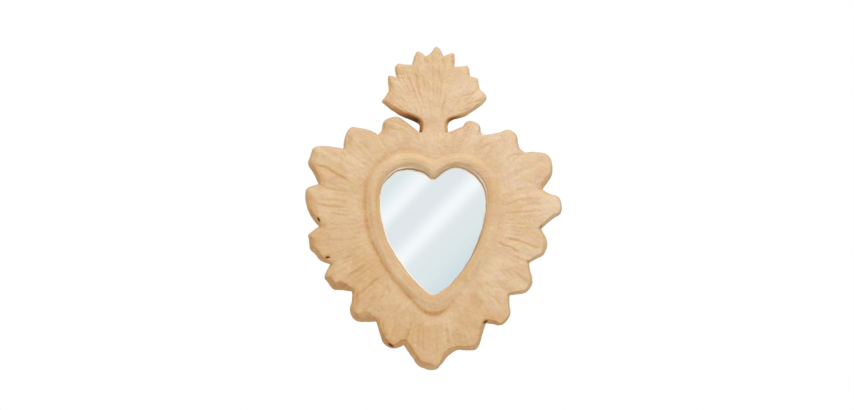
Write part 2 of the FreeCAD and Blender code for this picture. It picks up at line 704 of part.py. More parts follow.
def glazing():
    """Liner of the opening, mirror pane, the card ring round it, its backer and its gummed strips."""
    liner = opening_liner()
    pane = heart_plate("mirror_pane", PANE_BACK, "sizes.pane_thick", "sizes.pane_lap")
    backer = heart_plate("pane_backer", BACKER_BACK, "sizes.backer_thick", "sizes.pane_lap")
    frame = heart_ring("pane_frame", BACKER_BACK, "sizes.backer_thick + sizes.pane_thick",
                       "(sizes.pane_lap + sizes.pane_frame_width)", "(sizes.pane_lap + sizes.fit_gap)")
    lobe, side, tip = heart_arcs(size("pane_lap"))
    long_half, short_half = size("tape_length") / 2, size("tape_width") / 2
    side_x = side[0] + side[2]
    strips = []
    places = (
        (side_x, side[1], long_half, short_half),
        (-side_x, side[1], long_half, short_half),
        (lobe[0], lobe[1] + lobe[2], short_half, long_half),
        (-lobe[0], lobe[1] + lobe[2], short_half, long_half),
        (0.0, tip[1] - tip[2], short_half, long_half),
    )
    for number, (x, z, half_x, half_z) in enumerate(places, start=1):
        strip = doc.addObject("Part::Box", "tape_%d" % number)
        strip.setExpression("Width", "sizes.tape_thick")
        strip.setExpression("Length", "sizes.tape_length" if half_x == long_half else "sizes.tape_width")
        strip.setExpression("Height", "sizes.tape_width" if half_x == long_half else "sizes.tape_length")
        strip.Placement.Base = FreeCAD.Vector(x - half_x, -backer_back, z - half_z)
        strips.append(strip)
    tapes = doc.addObject("Part::Compound", "pane_tapes")
    tapes.Label = "pane_tapes"
    tapes.Links = strips
    doc.recompute()
    return [liner, pane, backer, frame, tapes]


def window_sketch(body, depth):
    """Hanger window through the board and the paper."""
    sketch = front_sketch(body, body.Name + "_window", depth)
    box_sketch(sketch, "-sizes.window_width / 2", "sizes.window_width / 2",
               "%s - sizes.window_below" % RING_RISE, "%s + sizes.window_above" % RING_RISE)
    pocket(body, sketch)


def backing():
    """Board that closes the hollow and ties the fan to the border, and the paper pasted over it."""
    board = new_body("back_board")
    hollow_outline(board, "board", "sizes.back_paper_thick", "sizes.board_thick", "sizes.board_gap",
                   "sizes.board_thick")
    window_sketch(board, "sizes.back_paper_thick")
    paper = new_body("back_paper")
    thick = "sizes.back_paper_thick"
    hollow_outline(paper, "paper", "0", thick, "sizes.board_gap", thick)
    window_sketch(paper, "0")
    return [board, paper]


def hanger_cleat():
    """Board pad glued over the window from inside, with the bores of the two rivets."""
    body = new_body("hanger_cleat")
    sketch = front_sketch(body, "cleat_outline", BOARD_FRONT)
    half = "(sizes.window_width / 2 + sizes.cleat_margin)"
    box_sketch(sketch, "-%s" % half, half, "%s - sizes.window_below - sizes.cleat_margin" % RING_RISE,
               "%s + sizes.window_above + sizes.cleat_margin" % RING_RISE)
    pad(body, sketch, "sizes.cleat_thick")
    rivet_bores(body, BOARD_FRONT)
    return body


def rivet_bores(body, depth):
    """Two rivet holes side by side below the ring."""
    sketch = front_sketch(body, body.Name + "_bores", depth)
    for number in (0, 1):
        place = FreeCAD.Vector(size("rivet_pitch") * (number - 0.5), ring_rise - size("rivet_drop"), 0)
        bore = Part.Circle(place, FreeCAD.Vector(0, 0, 1), size("rivet_bore") / 2)
        sketch.addGeometry(bore, False)
        named(sketch, "sizes.rivet_bore / 2", "Radius", number)
        named(sketch, "sizes.rivet_pitch * %s" % (number - 0.5), "DistanceX", -1, 1, number, 3)
        named(sketch, "%s - sizes.rivet_drop" % RING_RISE, "DistanceY", -1, 1, number, 3)
    pocket(body, sketch)


def hanger_strap():
    """Strip of sheet steel folded double round the ring's bar; its profile is drawn looking along X."""
    body = new_body("hanger_strap")
    sketch = body.newObject("Sketcher::SketchObject", "strap_profile")
    plane = [part for part in body.Origin.OriginFeatures if part.Role == "YZ_Plane"][0]
    sketch.AttachmentSupport = [(plane, "")]
    sketch.MapMode = "FlatFace"
    sketch.setExpression(".AttachmentOffset.Base.z", "-sizes.strap_width / 2")
    rise, leaf = ring_rise, 2 * size("strap_sheet")
    seat = -board_front
    centre = (seat + eye_radius, rise)
    back = math.sqrt(eye_radius ** 2 - (eye_radius - leaf) ** 2)
    tail = rise - size("strap_length")
    outer_start, outer_end = (seat + leaf, rise - back), (seat, rise)
    eye = arc(sketch, centre, eye_radius, outer_start, outer_end)
    leaf_corners = (outer_end, (seat, tail), (seat + leaf, tail), outer_start)
    corners = [FreeCAD.Vector(*point, 0) for point in leaf_corners]
    lines = [sketch.addGeometry(Part.LineSegment(corners[i], corners[i + 1]), False) for i in range(3)]
    bore_radius = eye_radius - size("strap_sheet")
    bore_circle = Part.Circle(FreeCAD.Vector(*centre, 0), FreeCAD.Vector(0, 0, 1), bore_radius)
    bore = sketch.addGeometry(bore_circle, False)
    sketch.addConstraint([
        Sketcher.Constraint("Tangent", eye, 2, lines[0], 1),
        Sketcher.Constraint("Coincident", lines[0], 2, lines[1], 1),
        Sketcher.Constraint("Coincident", lines[1], 2, lines[2], 1),
        Sketcher.Constraint("Coincident", lines[2], 2, eye, 1),
        Sketcher.Constraint("Vertical", lines[0]),
        Sketcher.Constraint("Horizontal", lines[1]),
        Sketcher.Constraint("Vertical", lines[2]),
        Sketcher.Constraint("Coincident", bore, 3, eye, 3),
    ])
    named(sketch, RING_RISE, "DistanceY", -1, 1, eye, 3)
    named(sketch, "%s - %s" % (BOARD_FRONT, STRAP_EYE), "DistanceX", eye, 3, -1, 1)
    named(sketch, STRAP_EYE, "Radius", eye)
    named(sketch, "sizes.ring_wire / 2 + sizes.ring_play", "Radius", bore)
    named(sketch, "sizes.strap_sheet * 2", "DistanceX", lines[1], 1, lines[1], 2)
    named(sketch, "sizes.strap_length", "DistanceY", lines[1], 1, eye, 3)
    pad(body, sketch, "sizes.strap_width")
    rivet_bores(body, "0")
    return body


def hanger_ring():
    """D-ring bent from round wire, leaning back until its bow all but rests on the cleat."""
    wire = size("ring_wire") / 2
    half = size("ring_inside") / 2 + wire
    corner, leg = size("ring_corner"), size("ring_leg")
    quarter = corner * (1 - math.sqrt(0.5))
    point = FreeCAD.Vector
    path = [
        Part.makeLine(point(corner - half, 0, 0), point(half - corner, 0, 0)),
        Part.Arc(point(half - corner, 0, 0), point(half - quarter, 0, quarter),
                 point(half, 0, corner)).toShape(),
        Part.makeLine(point(half, 0, corner), point(half, 0, leg)),
        Part.Arc(point(half, 0, leg), point(0, 0, leg + half), point(-half, 0, leg)).toShape(),
        Part.makeLine(point(-half, 0, leg), point(-half, 0, corner)),
        Part.Arc(point(-half, 0, corner), point(quarter - half, 0, quarter),
                 point(corner - half, 0, 0)).toShape(),
    ]
    section = Part.Wire(Part.makeCircle(wire, point(0, 0, 0), point(1, 0, 0)))
    ring = Part.Wire(path).makePipeShell([section], True, False)
    lean = math.asin((eye_radius - wire - size("ring_rest_gap")) / (leg + half))
    piece = feature("hanger_ring", ring)
    turn = FreeCAD.Rotation(point(1, 0, 0), math.degrees(lean))
    piece.Placement = FreeCAD.Placement(point(0, eye_radius - board_front, ring_rise), turn)
    return piece


def cylinder(name, radius, length, depth):
    """Round piece that runs forwards from a depth at the right-hand rivet."""
    piece = doc.addObject("Part::Cylinder", name)
    piece.setExpression("Radius", radius)
    piece.setExpression("Height", length)
    place = FreeCAD.Vector(size("rivet_pitch") / 2, -evaluate(depth), ring_rise - size("rivet_drop"))
    piece.Placement = FreeCAD.Placement(place, FreeCAD.Rotation(FreeCAD.Vector(1, 0, 0), 90))
    return piece


def pair(label, piece):
    """Piece and its mirror image across the middle of the hanger."""
    other = doc.addObject("Part::Mirroring", label + "_left")
    other.Source = piece
    other.Normal = FreeCAD.Vector(1, 0, 0)
    both = doc.addObject("Part::Compound", label)
    both.Label = label
    both.Links = [piece, other]
    doc.recompute()
    return both


def hanger_rivets():
    """Two rivets through strap and cleat, clenched over washers in front."""
    leaf = "(%s - sizes.strap_sheet * 2)" % BOARD_FRONT
    clench = "(%s + sizes.washer_thick)" % CLEAT_FRONT
    head = cylinder("rivet_head", "sizes.rivet_head_width / 2", "sizes.rivet_head_thick",
                    "%s - sizes.rivet_head_thick" % leaf)
    shank = cylinder("rivet_shank", "sizes.rivet_bore / 2 - sizes.rivet_fit",
                     "%s - %s" % (clench, leaf), leaf)
    tail = cylinder("rivet_clench", "sizes.rivet_head_width / 2", "sizes.clench_thick", clench)
    rivet = doc.addObject("Part::MultiFuse", "rivet")
    rivet.Shapes = [head, shank, tail]
    plate = cylinder("washer_plate", "sizes.washer_width / 2", "sizes.washer_thick", CLEAT_FRONT)
    bore = cylinder("washer_bore", "sizes.rivet_bore / 2", "sizes.washer_thick", CLEAT_FRONT)
    washer = doc.addObject("Part::Cut", "washer")
    washer.Base = plate
    washer.Tool = bore
    return [pair("hanger_rivets", rivet), pair("rivet_washers", washer)]


pieces = shells() + [opening_bead()] + glazing() + backing()
pieces += [hanger_cleat(), hanger_strap(), hanger_ring()] + hanger_rivets()
doc.recompute()

for item in doc.Objects:
    if "Invalid" in item.State or "Error" in item.State:
        raise RuntimeError("%s did not build: %s" % (item.Label, item.State))
for piece in pieces:
    if piece.Shape.isNull() or not piece.Shape.isValid():
        raise RuntimeError("%s has no valid shape" % piece.Label)

os.makedirs("parts", exist_ok=True)
for piece in pieces:
    piece.Shape.exportStep("parts/%s.step" % piece.Label)
    print(piece.Label, len(piece.Shape.Solids), round(piece.Shape.Volume / 1000, 2), "cm3")
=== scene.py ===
import math

import bpy
import numpy as np
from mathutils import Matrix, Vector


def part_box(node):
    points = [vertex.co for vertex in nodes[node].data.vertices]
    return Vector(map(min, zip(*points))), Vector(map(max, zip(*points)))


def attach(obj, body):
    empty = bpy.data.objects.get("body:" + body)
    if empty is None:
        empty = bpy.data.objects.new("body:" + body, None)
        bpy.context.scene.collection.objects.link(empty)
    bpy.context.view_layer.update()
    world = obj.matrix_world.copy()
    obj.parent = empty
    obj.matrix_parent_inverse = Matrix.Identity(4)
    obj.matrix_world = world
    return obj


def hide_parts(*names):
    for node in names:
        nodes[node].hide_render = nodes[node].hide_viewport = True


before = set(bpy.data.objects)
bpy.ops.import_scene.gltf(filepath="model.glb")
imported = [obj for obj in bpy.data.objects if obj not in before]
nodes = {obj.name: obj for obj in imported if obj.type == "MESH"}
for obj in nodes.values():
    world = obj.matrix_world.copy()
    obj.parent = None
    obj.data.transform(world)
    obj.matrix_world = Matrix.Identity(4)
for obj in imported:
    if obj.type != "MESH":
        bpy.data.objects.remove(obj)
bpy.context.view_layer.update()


# Ray border: a heart-shaped ring of raw kraft papier-mache with a crown of blunt, lobed rays. Torn strips
# are pasted over a mould from the opening outwards, so pleats run along every ray, and the last strips
# are rolled over the edge. Millimetres here; X is right, Z up, and depth is the distance from the wall.
lobe_spread, lobe_rise, lobe_radius = 26.0, 37.1, 31.2
side_radius, side_turn, tip_radius = 120.0, math.radians(3.8), 9.0
bead_width, bead_joint = 14.0, 0.05
edge_depth, foot_depth, field_depth, neck_depth = 10.0, 17.0, 18.2, 16.6
roll_width, roll_foot = 3.4, 2.6
split_depth, deepest_split = 3.0, 3.5
neck_half, neck_points = 15.4, 44
channel_half, pair_gap = 9.5, 0.01
board_front, ceiling_depth, seat_depth, hole_spread = 3.6, 11.8, 13.6, 1.0
hollow_heart = (42.0, 32.1, 64.0, 170.0, 12.0, math.radians(1))
hollow_ledge = 4.0
seam_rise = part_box("fan_crest")[0][2] * 1000
edge_step, border_step, border_rows = 0.5, 1.28, 84
# tones of plain paper, of the painted shade in creases, and of faces out of sight
plain_tone, crease_shade_tone, hidden_tone = 0.12, 0.20, 0.3

# bearings round the heart are degrees from straight up towards the left
heart_middle = np.array([0.0, 10.0])
round_heart = (heart_middle, 90)

# bearings of the valleys between the rays
valleys = np.array([9.3, 33, 51.5, 72.5, 93, 113, 131, 150.5, 166.5, 190.5, 207, 225.5, 246, 265.5, 286,
                    306.5, 329, 350.7])

# pleats pressed into the strips: depth, then the points of the crease from the edge inwards
pleats = (
    (0.9, (-128, 71), (-112, 65), (-84, 49)),
    (0.6, (-121, 49), (-114, 44), (-86, 40)),
    (0.5, (-122, 32), (-87, 30)),
    (0.9, (-128, 29), (-110, 25), (-91, 23)),
    (0.4, (-112, 19), (-88, 15)),
    (0.4, (-122, 4), (-110, 0), (-94, 4)),
    (0.6, (-110, -11), (-92, -11)),
    (0.5, (-96, -10), (-78, -7)),
    (0.5, (-98, -32), (-86, -28)),
    (0.7, (-94, -53), (-86, -46), (-69, -35)),
    (0.7, (-80, -70), (-65, -56), (-53, -46)),
    (0.5, (-76, -85), (-63, -79)),
    (0.5, (-50, -58), (-45, -71)),
    (0.5, (-57, -74), (-51, -61)),
    (0.6, (-46, -90), (-32, -77)),
    (0.5, (-40, -101), (-44, -111)),
    (0.7, (-31, -121), (-27, -110), (-21, -93)),
    (0.35, (-16, -98), (-17, -124)),
    (0.4, (-11, -92), (-11, -134)),
    (0.35, (-6, -93), (-6, -129)),
    (0.4, (4, -100), (4, -139)),
    (0.5, (14, -101), (16, -122)),
    (0.8, (67, -12), (76, -17), (84, -20), (94, -26)),
    (0.9, (74, -8), (92, -12), (107, -18), (116, -19)),
    (0.35, (78, 31), (126, 34)),
    (0.3, (84, 25), (126, 30)),
    (0.35, (94, 19), (116, 20)),
    (0.3, (82, 12), (118, 13)),
    (0.35, (76, 4), (106, 0)),
    (0.3, (98, 52), (114, 47)),
    (0.7, (76, 74), (84, 79), (92, 81)),
    (0.5, (86, 42), (102, 46)),
    (0.6, (49, 85), (62, 94)),
    (0.5, (52, 100), (47, 85)),
    (0.5, (-60, 98), (-59, 93)),
    (0.5, (-85, 97), (-88, 92)),
    (0.5, (-98, 85), (-93, 78)),
    (0.5, (-20, 104), (-14, 93)),
    (0.5, (15, 105), (20, 100)),
    (0.4, (-30, 156), (-23, 143)),
    (0.7, (-27, 164), (-18, 140)),
    (0.7, (-20, 169), (-16, 148), (-13, 136)),
    (0.4, (-11, 164), (-9, 140)),
    (0.5, (-17, 174), (-15, 164)),
    (0.3, (-7, 162), (-5, 138)),
    (0.6, (6, 174), (7, 154)),
    (0.6, (13, 146), (9, 129), (9, 119)),
    (0.7, (47, 146), (23, 139)),
    (0.7, (53, 139), (26, 129)),
    (0.6, (28, 125), (39, 130)),
    (0.6, (-38, 142), (-23, 131)),
    (0.5, (-9, 184), (-7, 175)),
    (0.5, (10, 182), (9, 174)),
)

# open splits at the edge where the strips have parted: middle, half length, slope in degrees, and how open
splits = (
    ((-121.6, 11.2), 2.2, 118, 1.0),
    ((-112, -29), 2.2, 10, 1.0),
    ((-45, -122), 3.0, -35, 1.0),
    ((55, -97), 2.4, 35, 1.0),
    ((114, 3), 3.0, 90, 0.4),
    ((100, -33), 1.8, 15, 0.35),
)


def smooth(value):
    """Ramp from 0 to 1 with level ends: 3 v^2 - 2 v^3 on the clipped value."""
    value = np.clip(value, 0.0, 1.0)
    return value * value * (3 - 2 * value)


def bell(value, middle, width):
    """Bell curve, 1 at its middle: exp(-((v - middle) / width)^2)."""
    return np.exp(-((value - middle) / width) ** 2)


def distance(points, others):
    """Distance of points from others, pair by pair."""
    away = points - others
    return np.hypot(away[..., 0], away[..., 1])


def run_along(line):
    """Length of a line up to each of its points."""
    return np.append(0.0, np.cumsum(distance(line[1:], line[:-1])))


def points_at(line, run):
    """Points of a line at each length of run."""
    along = run_along(line)
    return np.stack([np.interp(run, along, line[:, 0]), np.interp(run, along, line[:, 1])], axis=-1)


def bearing_of(points, middle, start):
    """Turn of each point round a middle, anticlockwise from the direction start, 0 to 360 degrees."""
    away = points - middle
    return (np.degrees(np.arctan2(away[..., 1], away[..., 0])) - start) % 360


def turn_from(bearing, start):
    """Turn of a bearing from another one, -180 to 180 degrees."""
    return (bearing - start + 180) % 360 - 180


def by_bearing(bearing, *marks):
    """Value at each bearing, in straight lines between marks of bearing and value."""
    turns, values = zip(*marks)
    return np.interp(bearing, turns, values, period=360)


def lumps(points, seed, waves, shortest, longest):
    """Uneven surface: a sum of plane waves of random direction, phase and length, about -1 to 1."""
    dice = np.random.default_rng(seed)
    total = np.zeros(points.shape[:2])
    for _ in range(waves):
        turn, phase = dice.uniform(0, 2 * math.pi, 2)
        number = 2 * math.pi / dice.uniform(shortest, longest)
        total += np.cos(number * (points @ np.array([math.cos(turn), math.sin(turn)])) + phase)
    return total / math.sqrt(waves)


def edge_of(node, middle, start, step):
    """Edge of a shell as the CAD node has it, where its side wall meets its front: those vertices by bearing
    about the middle, set out again at even steps and nicked inwards here and there; x and z."""
    nick_depth, plain_end, near_edge = 0.35, 9.0, 0.002
    mesh = nodes[node].data
    points = np.empty(len(mesh.vertices) * 3)
    mesh.vertices.foreach_get("co", points)
    points = points.reshape(-1, 3) * 1000
    on_edge = np.abs(points[:, 1] + edge_depth) < near_edge
    line = np.unique(points[on_edge][:, [0, 2]].round(3), axis=0)
    line = line[np.argsort(bearing_of(line, middle, start))]
    whole = run_along(line)[-1]
    even = np.linspace(0.0, whole, int(whole / step) + 1)
    line = points_at(line, even)
    leg = np.gradient(line, axis=0)
    inward = np.stack([-leg[:, 1], leg[:, 0]], axis=-1) / np.hypot(leg[:, 0], leg[:, 1])[:, None]
    ends = smooth(np.minimum(even, whole - even) / plain_end)
    nick = np.maximum(lumps(line[None], 21, 24, 6, 20)[0] - 0.3, 0) * ends
    return line + inward * (nick_depth * nick)[:, None]


def heart_line(spread_out, lobe_x, lobe_z, lobe_r, side_r, tip_r, turn):
    """Heart of two lobe arcs, two side arcs and a tip arc that touch, grown by spread_out: points from the
    notch down the left side to the tip and up the right side."""
    side_x = lobe_x - (side_r - lobe_r) * math.cos(turn)
    side_z = lobe_z - (side_r - lobe_r) * math.sin(turn)
    tip_z = side_z - math.sqrt((side_r - tip_r) ** 2 - side_x ** 2)
    fall = math.atan2(tip_z - side_z, -side_x)
    notch = math.pi - math.acos(lobe_x / (lobe_r + spread_out))
    arcs = ((lobe_x, lobe_z, lobe_r, notch, turn), (side_x, side_z, side_r, turn, fall),
            (0.0, tip_z, tip_r, fall, -math.pi / 2))
    right = []
    for x, z, radius, first, last in arcs:
        angle = np.linspace(first, last, 160)
        right.append(np.stack([x + (radius + spread_out) * np.cos(angle),
                               z + (radius + spread_out) * np.sin(angle)], axis=-1))
    right = np.concatenate(right)
    return np.concatenate([right * [-1, 1], right[::-1]])


def opening_heart(spread_out):
    """Heart of the mirror's opening, grown by spread_out."""
    return heart_line(spread_out, lobe_spread, lobe_rise, lobe_radius, side_radius, tip_radius, side_turn)


def reach_along(line, bearing, middle, start):
    """Distance from the middle to a closed line round it, on each bearing."""
    turn = bearing_of(line, middle, start)
    order = np.argsort(turn)
    return np.interp(bearing, turn[order], distance(line, middle)[order], period=360)


def at_reach(bearing, reach, middle, start):
    """Points at a distance from the middle on each bearing; x and z."""
    angle = np.radians(bearing + start)
    return middle + np.stack([reach * np.cos(angle), reach * np.sin(angle)], axis=-1)


def line_at(line, bearing, middle, start):
    """Points of a closed line round the middle, one on each bearing."""
    return at_reach(bearing, reach_along(line, bearing, middle, start), middle, start)


def nearest_edge(points, line):
    """Distance of every grid point to the nearest sample of an edge line, and that sample's number."""
    gap, sample = np.empty(points.shape[:2]), np.empty(points.shape[:2], dtype=int)
    for row, strip in enumerate(points):
        away = np.hypot(strip[:, None, 0] - line[None, :, 0], strip[:, None, 1] - line[None, :, 1])
        sample[row] = away.argmin(axis=1)
        gap[row] = away.min(axis=1)
    return gap, sample


def faint_folds(count, seed, middle, start, turns, near, lengths):
    """Faint folds that fan out from a middle, by chance: depth, first point and last point of each. Turns
    bound the bearing and lengths the length, and a fold starts a little beyond the reach that near gives."""
    dice = np.random.default_rng(seed)
    bearing = dice.uniform(*turns, count)
    first = near(bearing) + dice.uniform(2, 24, count)
    last = first + dice.uniform(*lengths, count)
    starts = at_reach(bearing, first, middle, start)
    ends = at_reach(bearing + dice.uniform(-4, 4, count), last, middle, start)
    return [(depth, tuple(one), tuple(two))
            for depth, one, two in zip(dice.uniform(0.12, 0.34, count), starts, ends)]


def crease_field(points):
    """Depth of the pleats at every grid point, and how far into a crease it is: across each crease line,
    which wavers, a Gaussian furrow with a lower ridge beside it, fading out at both ends."""
    furrow_width, ridge_off, ridge_width, ridge_share = 0.8, 2.4, 1.6, 0.6
    points = points + 0.45 * np.stack([lumps(points, 41, 14, 7, 22), lumps(points, 42, 14, 7, 22)], axis=-1)
    sunk = shade = level = np.zeros(points.shape[:2])
    for depth, *line in folds:
        line = np.array(line, dtype=float)
        steps = distance(line[1:], line[:-1])
        run = run_along(line) / steps.sum()
        best, along, side = level + 1e9, level, level + 1
        for number, length in enumerate(steps):
            leg = (line[number + 1] - line[number]) / length
            travel = np.clip((points - line[number]) @ leg, 0.0, length)
            off = points - line[number] - travel[..., None] * leg
            away = np.hypot(off[..., 0], off[..., 1])
            closer = away < best
            side = np.where(closer, np.sign(off @ np.array([-leg[1], leg[0]])), side)
            best = np.where(closer, away, best)
            along = np.where(closer, run[number] + travel / steps.sum(), along)
        faint = 1 - smooth((depth - 0.3) / 0.2)
        fade = smooth(along / (0.2 + 0.15 * faint)) * smooth((1 - along) / (0.3 + 0.15 * faint))
        furrow = np.exp(-0.5 * (best / furrow_width) ** 2)
        ridge = np.exp(-0.5 * ((side * best - ridge_off) / ridge_width) ** 2)
        sunk = sunk + 0.9 * depth * fade * (furrow - ridge_share * ridge)
        shade = np.maximum(shade, depth * fade * furrow)
    return sunk, shade


def split_field(points):
    """How far into an open split every grid point is: 1 along the middle of a wide slit, 0 outside."""
    slit_width = 0.9
    inside = np.zeros(points.shape[:2])
    for middle, half, slope, gape in splits:
        angle = math.radians(slope)
        away = points - np.array(middle, dtype=float)
        along = away @ np.array([math.cos(angle), math.sin(angle)])
        across = away @ np.array([-math.sin(angle), math.cos(angle)])
        inside = np.maximum(inside, gape * np.exp(-(along / half) ** 4 - (across / slit_width) ** 2))
    return inside


def streaks(bearing, reach, seed, waves):
    """Ridges of the strips that run outwards: a sum of waves round the bearing that drift with the reach."""
    dice = np.random.default_rng(seed)
    total = np.zeros(np.broadcast(bearing, reach).shape)
    for _ in range(waves):
        count = dice.integers(36, 150)
        drift, phase = dice.uniform(-0.06, 0.06), dice.uniform(0, 2 * math.pi)
        total += np.cos(count * np.radians(bearing) + drift * reach + phase) / count ** 0.5
    return total * 8 / math.sqrt(waves)


def hand_laid(points, swell):
    """Unevenness of paper laid by hand: soft lumps as high as swell, less narrow furrows."""
    return swell * lumps(points, 5, 26, 9, 30) - 0.26 * np.abs(lumps(points, 6, 30, 4, 12))


def looks_towards(line, x, z):
    """How much each stretch of an edge line, which runs anticlockwise, looks along the direction x, z: 1
    straight along it, -1 straight away, evened out over some samples to either side."""
    either_side = 12
    step = np.gradient(line, axis=0)
    facing = (step[:, 1] * x - step[:, 0] * z) / np.hypot(*step.T)
    window = np.hanning(2 * either_side + 1)
    return np.convolve(np.pad(facing, either_side, mode="edge"), window / window.sum(), mode="valid")


def placed(name, data):
    """New object in the scene for a mesh, a camera or a lamp."""
    thing = bpy.data.objects.new(name, data)
    bpy.context.scene.collection.objects.link(thing)
    return thing


def shell_piece(name, loops, poles=()):
    """Mesh through a list of loops with as many points each: every loop joins the next, and the first and
    last end in poles or join each other. Points are x, depth and z in millimetres; faces look outwards."""
    to_metres = [0.001, -0.001, 0.001]
    count = len(loops[0])
    corners = np.concatenate(loops) * to_metres
    here = np.arange(count)
    after = np.roll(here, -1)
    bands = len(loops) - 1 if poles else len(loops)
    low = np.arange(bands)[:, None] * count
    high = (low + count) % len(corners)
    quads = np.stack([low + here, low + after, high + after, high + here], axis=-1)
    faces = quads.reshape(-1, 4).tolist()
    if poles:
        first, last, top = len(corners), len(corners) + 1, (len(loops) - 1) * count
        corners = np.concatenate([corners, np.array(poles) * to_metres])
        faces += np.stack([np.full(count, first), after, here], axis=-1).tolist()
        faces += np.stack([np.full(count, last), top + here, top + after], axis=-1).tolist()
    mesh = bpy.data.meshes.new(name)
    mesh.from_pydata(corners.tolist(), [], faces)
    mesh.update()
    mesh.shade_smooth()
    mesh.set_sharp_from_angle(angle=math.radians(55))
    return placed(name, mesh)


# the tone kept per vertex carries the paper's stains together with painted shade and painted light
def stain_and_shade(piece, tones):
    """Keeps a tone per vertex, hidden_tone past the last, as the attribute that the materials read."""
    values = np.full(len(piece.data.vertices), hidden_tone, dtype=np.float32)
    values[:tones.size] = np.clip(tones.ravel(), 0, 1)
    piece.data.attributes.new("stain_and_shade", "FLOAT", "POINT").data.foreach_set("value", values)


# the fan shares the border's paper, so its edge and folds are laid out here; its bearings start below
fan_rise, root_drop = 30.0, 4.0
fan_middle, fan_root = np.array([0.0, seam_rise + fan_rise]), np.array([0.0, seam_rise - root_drop])
round_fan, round_root = (fan_middle, -90), (fan_root, -90)
folds = list(pleats) + faint_folds(
    95, 4, *round_heart, (12, 348),
    lambda bearing: reach_along(opening_heart(bead_width), bearing, *round_heart), (14, 38))
folds += faint_folds(40, 9, *round_root, (95, 265), lambda bearing: 16.0, (16, 40))
border_edge = edge_of("ray_border", *round_heart, edge_step)
fan_edge = edge_of("fan_crest", *round_fan, edge_step)
both_edges = np.concatenate([border_edge, fan_edge])

# how much each sample of the edges looks down, up and to the lower left; the fan's right wing rolls under
# less than its left one
border_down = looks_towards(border_edge, 0, -1)
fan_down = looks_towards(fan_edge, 0, -1) * (1 - 0.6 * smooth((fan_edge[:, 0] - 14) / 20))
both_down = np.concatenate([border_down, fan_down])
both_below, both_above = np.clip(both_down, 0, 1), np.clip(-both_down, 0, 1)
lower_left = (-0.9, -0.44)
both_lefts = np.clip(np.concatenate(
    [looks_towards(border_edge, *lower_left), 0.5 * looks_towards(fan_edge, *lower_left)]), 0, 1)

# how wide the edge rolls and how much painted shade it takes below: broad under the sixth and seventh ray on
# the left, narrow on the right, and little painted shade under the fifth ray on the left and at the tip
edge_bearing = bearing_of(border_edge, *round_heart)
border_broad = by_bearing(
    edge_bearing, (113, 1.0), (119, 1.5), (131, 1.5), (135, 1.9), (148, 1.9), (152, 1.0), (188, 1.0),
    (196, 0.65), (300, 0.65), (310, 1.0))
border_under_shade = by_bearing(
    edge_bearing, (96, 1.0), (101, 0.2), (110, 0.2), (115, 0.6), (150, 0.6), (156, 0.4), (172, 0.2),
    (188, 0.2), (194, 0.4), (300, 0.4), (310, 1.0))
both_widths = np.clip(1 + 0.3 * lumps(both_edges[None], 51, 16, 22, 70)[0], 0.5, 1.5)
both_widths[:len(border_edge)] *= 1 + (border_broad - 1) * np.clip(border_down, 0, 1)
both_under_shades = np.concatenate([border_under_shade, np.ones(len(fan_edge))])

# the fan's throat takes the darkest painted shade, which runs down the sides of the neck, the left one above
# all
neck_shade = np.where(fan_edge[:, 0] < 0, 0.9, 0.35) * bell(fan_edge[:, 1], seam_rise, 10)
fan_throat = np.maximum(np.clip(fan_down, 0, 1), neck_shade)
fan_throat *= bell(np.maximum(np.abs(fan_edge[:, 0]), 18), 18, 17)
both_throats = np.concatenate([np.zeros(len(border_edge)), fan_throat])


def edge_roll(gap, height, sample):
    """Depth of the shell a gap inside its edge, and the gap as a share of the fold. The height folds down to
    the edge partly as a slope and partly as a quarter ellipse, wider and deeper where the edge looks down
    and most of all by the fan's throat, narrower where it looks up, and uneven along the edge."""
    below, above, close = both_below[sample], both_above[sample], both_throats[sample]
    width = (roll_width + 2.2 * below - 1.5 * above) * both_widths[sample] + 0.8 * close
    foot = edge_depth + roll_foot - 1.6 * below - 2.0 * close
    part = np.clip(gap / width, 0, 1)
    rise = 0.75 * part + 0.25 * np.sqrt(1 - (1 - part) ** 2)
    return foot + (height - foot) * rise, gap / width


def edge_shade(gap, out, sample):
    """Painted shade by the edge, out being the gap as a share of the fold: a darker band on the roll, more
    where it looks down and less where it looks up, a line along its fold below, the dark shade of the throat,
    and a band just inside the edges that look left."""
    below = both_below[sample]
    roll_shade = 0.07 + 0.15 * below * both_under_shades[sample] - 0.07 * both_above[sample]
    tone = smooth((1.25 - out) / 0.9) * roll_shade + 0.14 * below * bell(out, 1.0, 0.16)
    tone += 0.62 * both_throats[sample] * smooth((1.05 - out) / 0.6)
    return tone + 0.2 * both_lefts[sample] * (1 - 0.6 * below) * bell(gap, 5.4, 2.8)


def kraft_front(points, height, seam_share):
    """Front of a shell at every grid point: its height with the piece's own relief fading out at the neck's
    seam, less pleats and splits, with hand-laid lumps, and rolled at the edge. Returns depth and a tone that
    carries painted shade in creases, splits and by the edge."""
    sunk, shade = crease_field(points)
    slit = split_field(points)
    uneven = hand_laid(points, 0.20) + 0.46 * (0.6 - np.abs(lumps(points, 31, 14, 16, 42)))
    level = height * (1 - seam_share) + neck_depth * seam_share + uneven - sunk
    gap, sample = nearest_edge(points, both_edges)
    depth, out = edge_roll(gap, level, sample)
    depth = np.maximum(depth - split_depth * slit * smooth(out * 3), edge_depth - deepest_split)
    return depth, plain_tone + crease_shade_tone * shade + 0.7 * slit + edge_shade(gap, out, sample)


def neck_columns(first_x, last_x):
    """Points along the neck's seam between its two edges, with a close pair at each side of the channel."""
    inside = np.linspace(first_x, last_x, neck_points + 2)[1:-1]
    inside = inside[np.abs(np.abs(inside) - channel_half) > 10 * pair_gap]
    pairs = [channel_half, channel_half - pair_gap, pair_gap - channel_half, -channel_half]
    x = np.sort(np.append(inside, pairs))
    x = x if first_x < last_x else x[::-1]
    return np.stack([x, np.full(len(x), seam_rise)], axis=-1)


def on_seam(line):
    """Which points of a shell's outline lie on the neck's seam."""
    return np.abs(line[:, 1] - seam_rise) < pair_gap


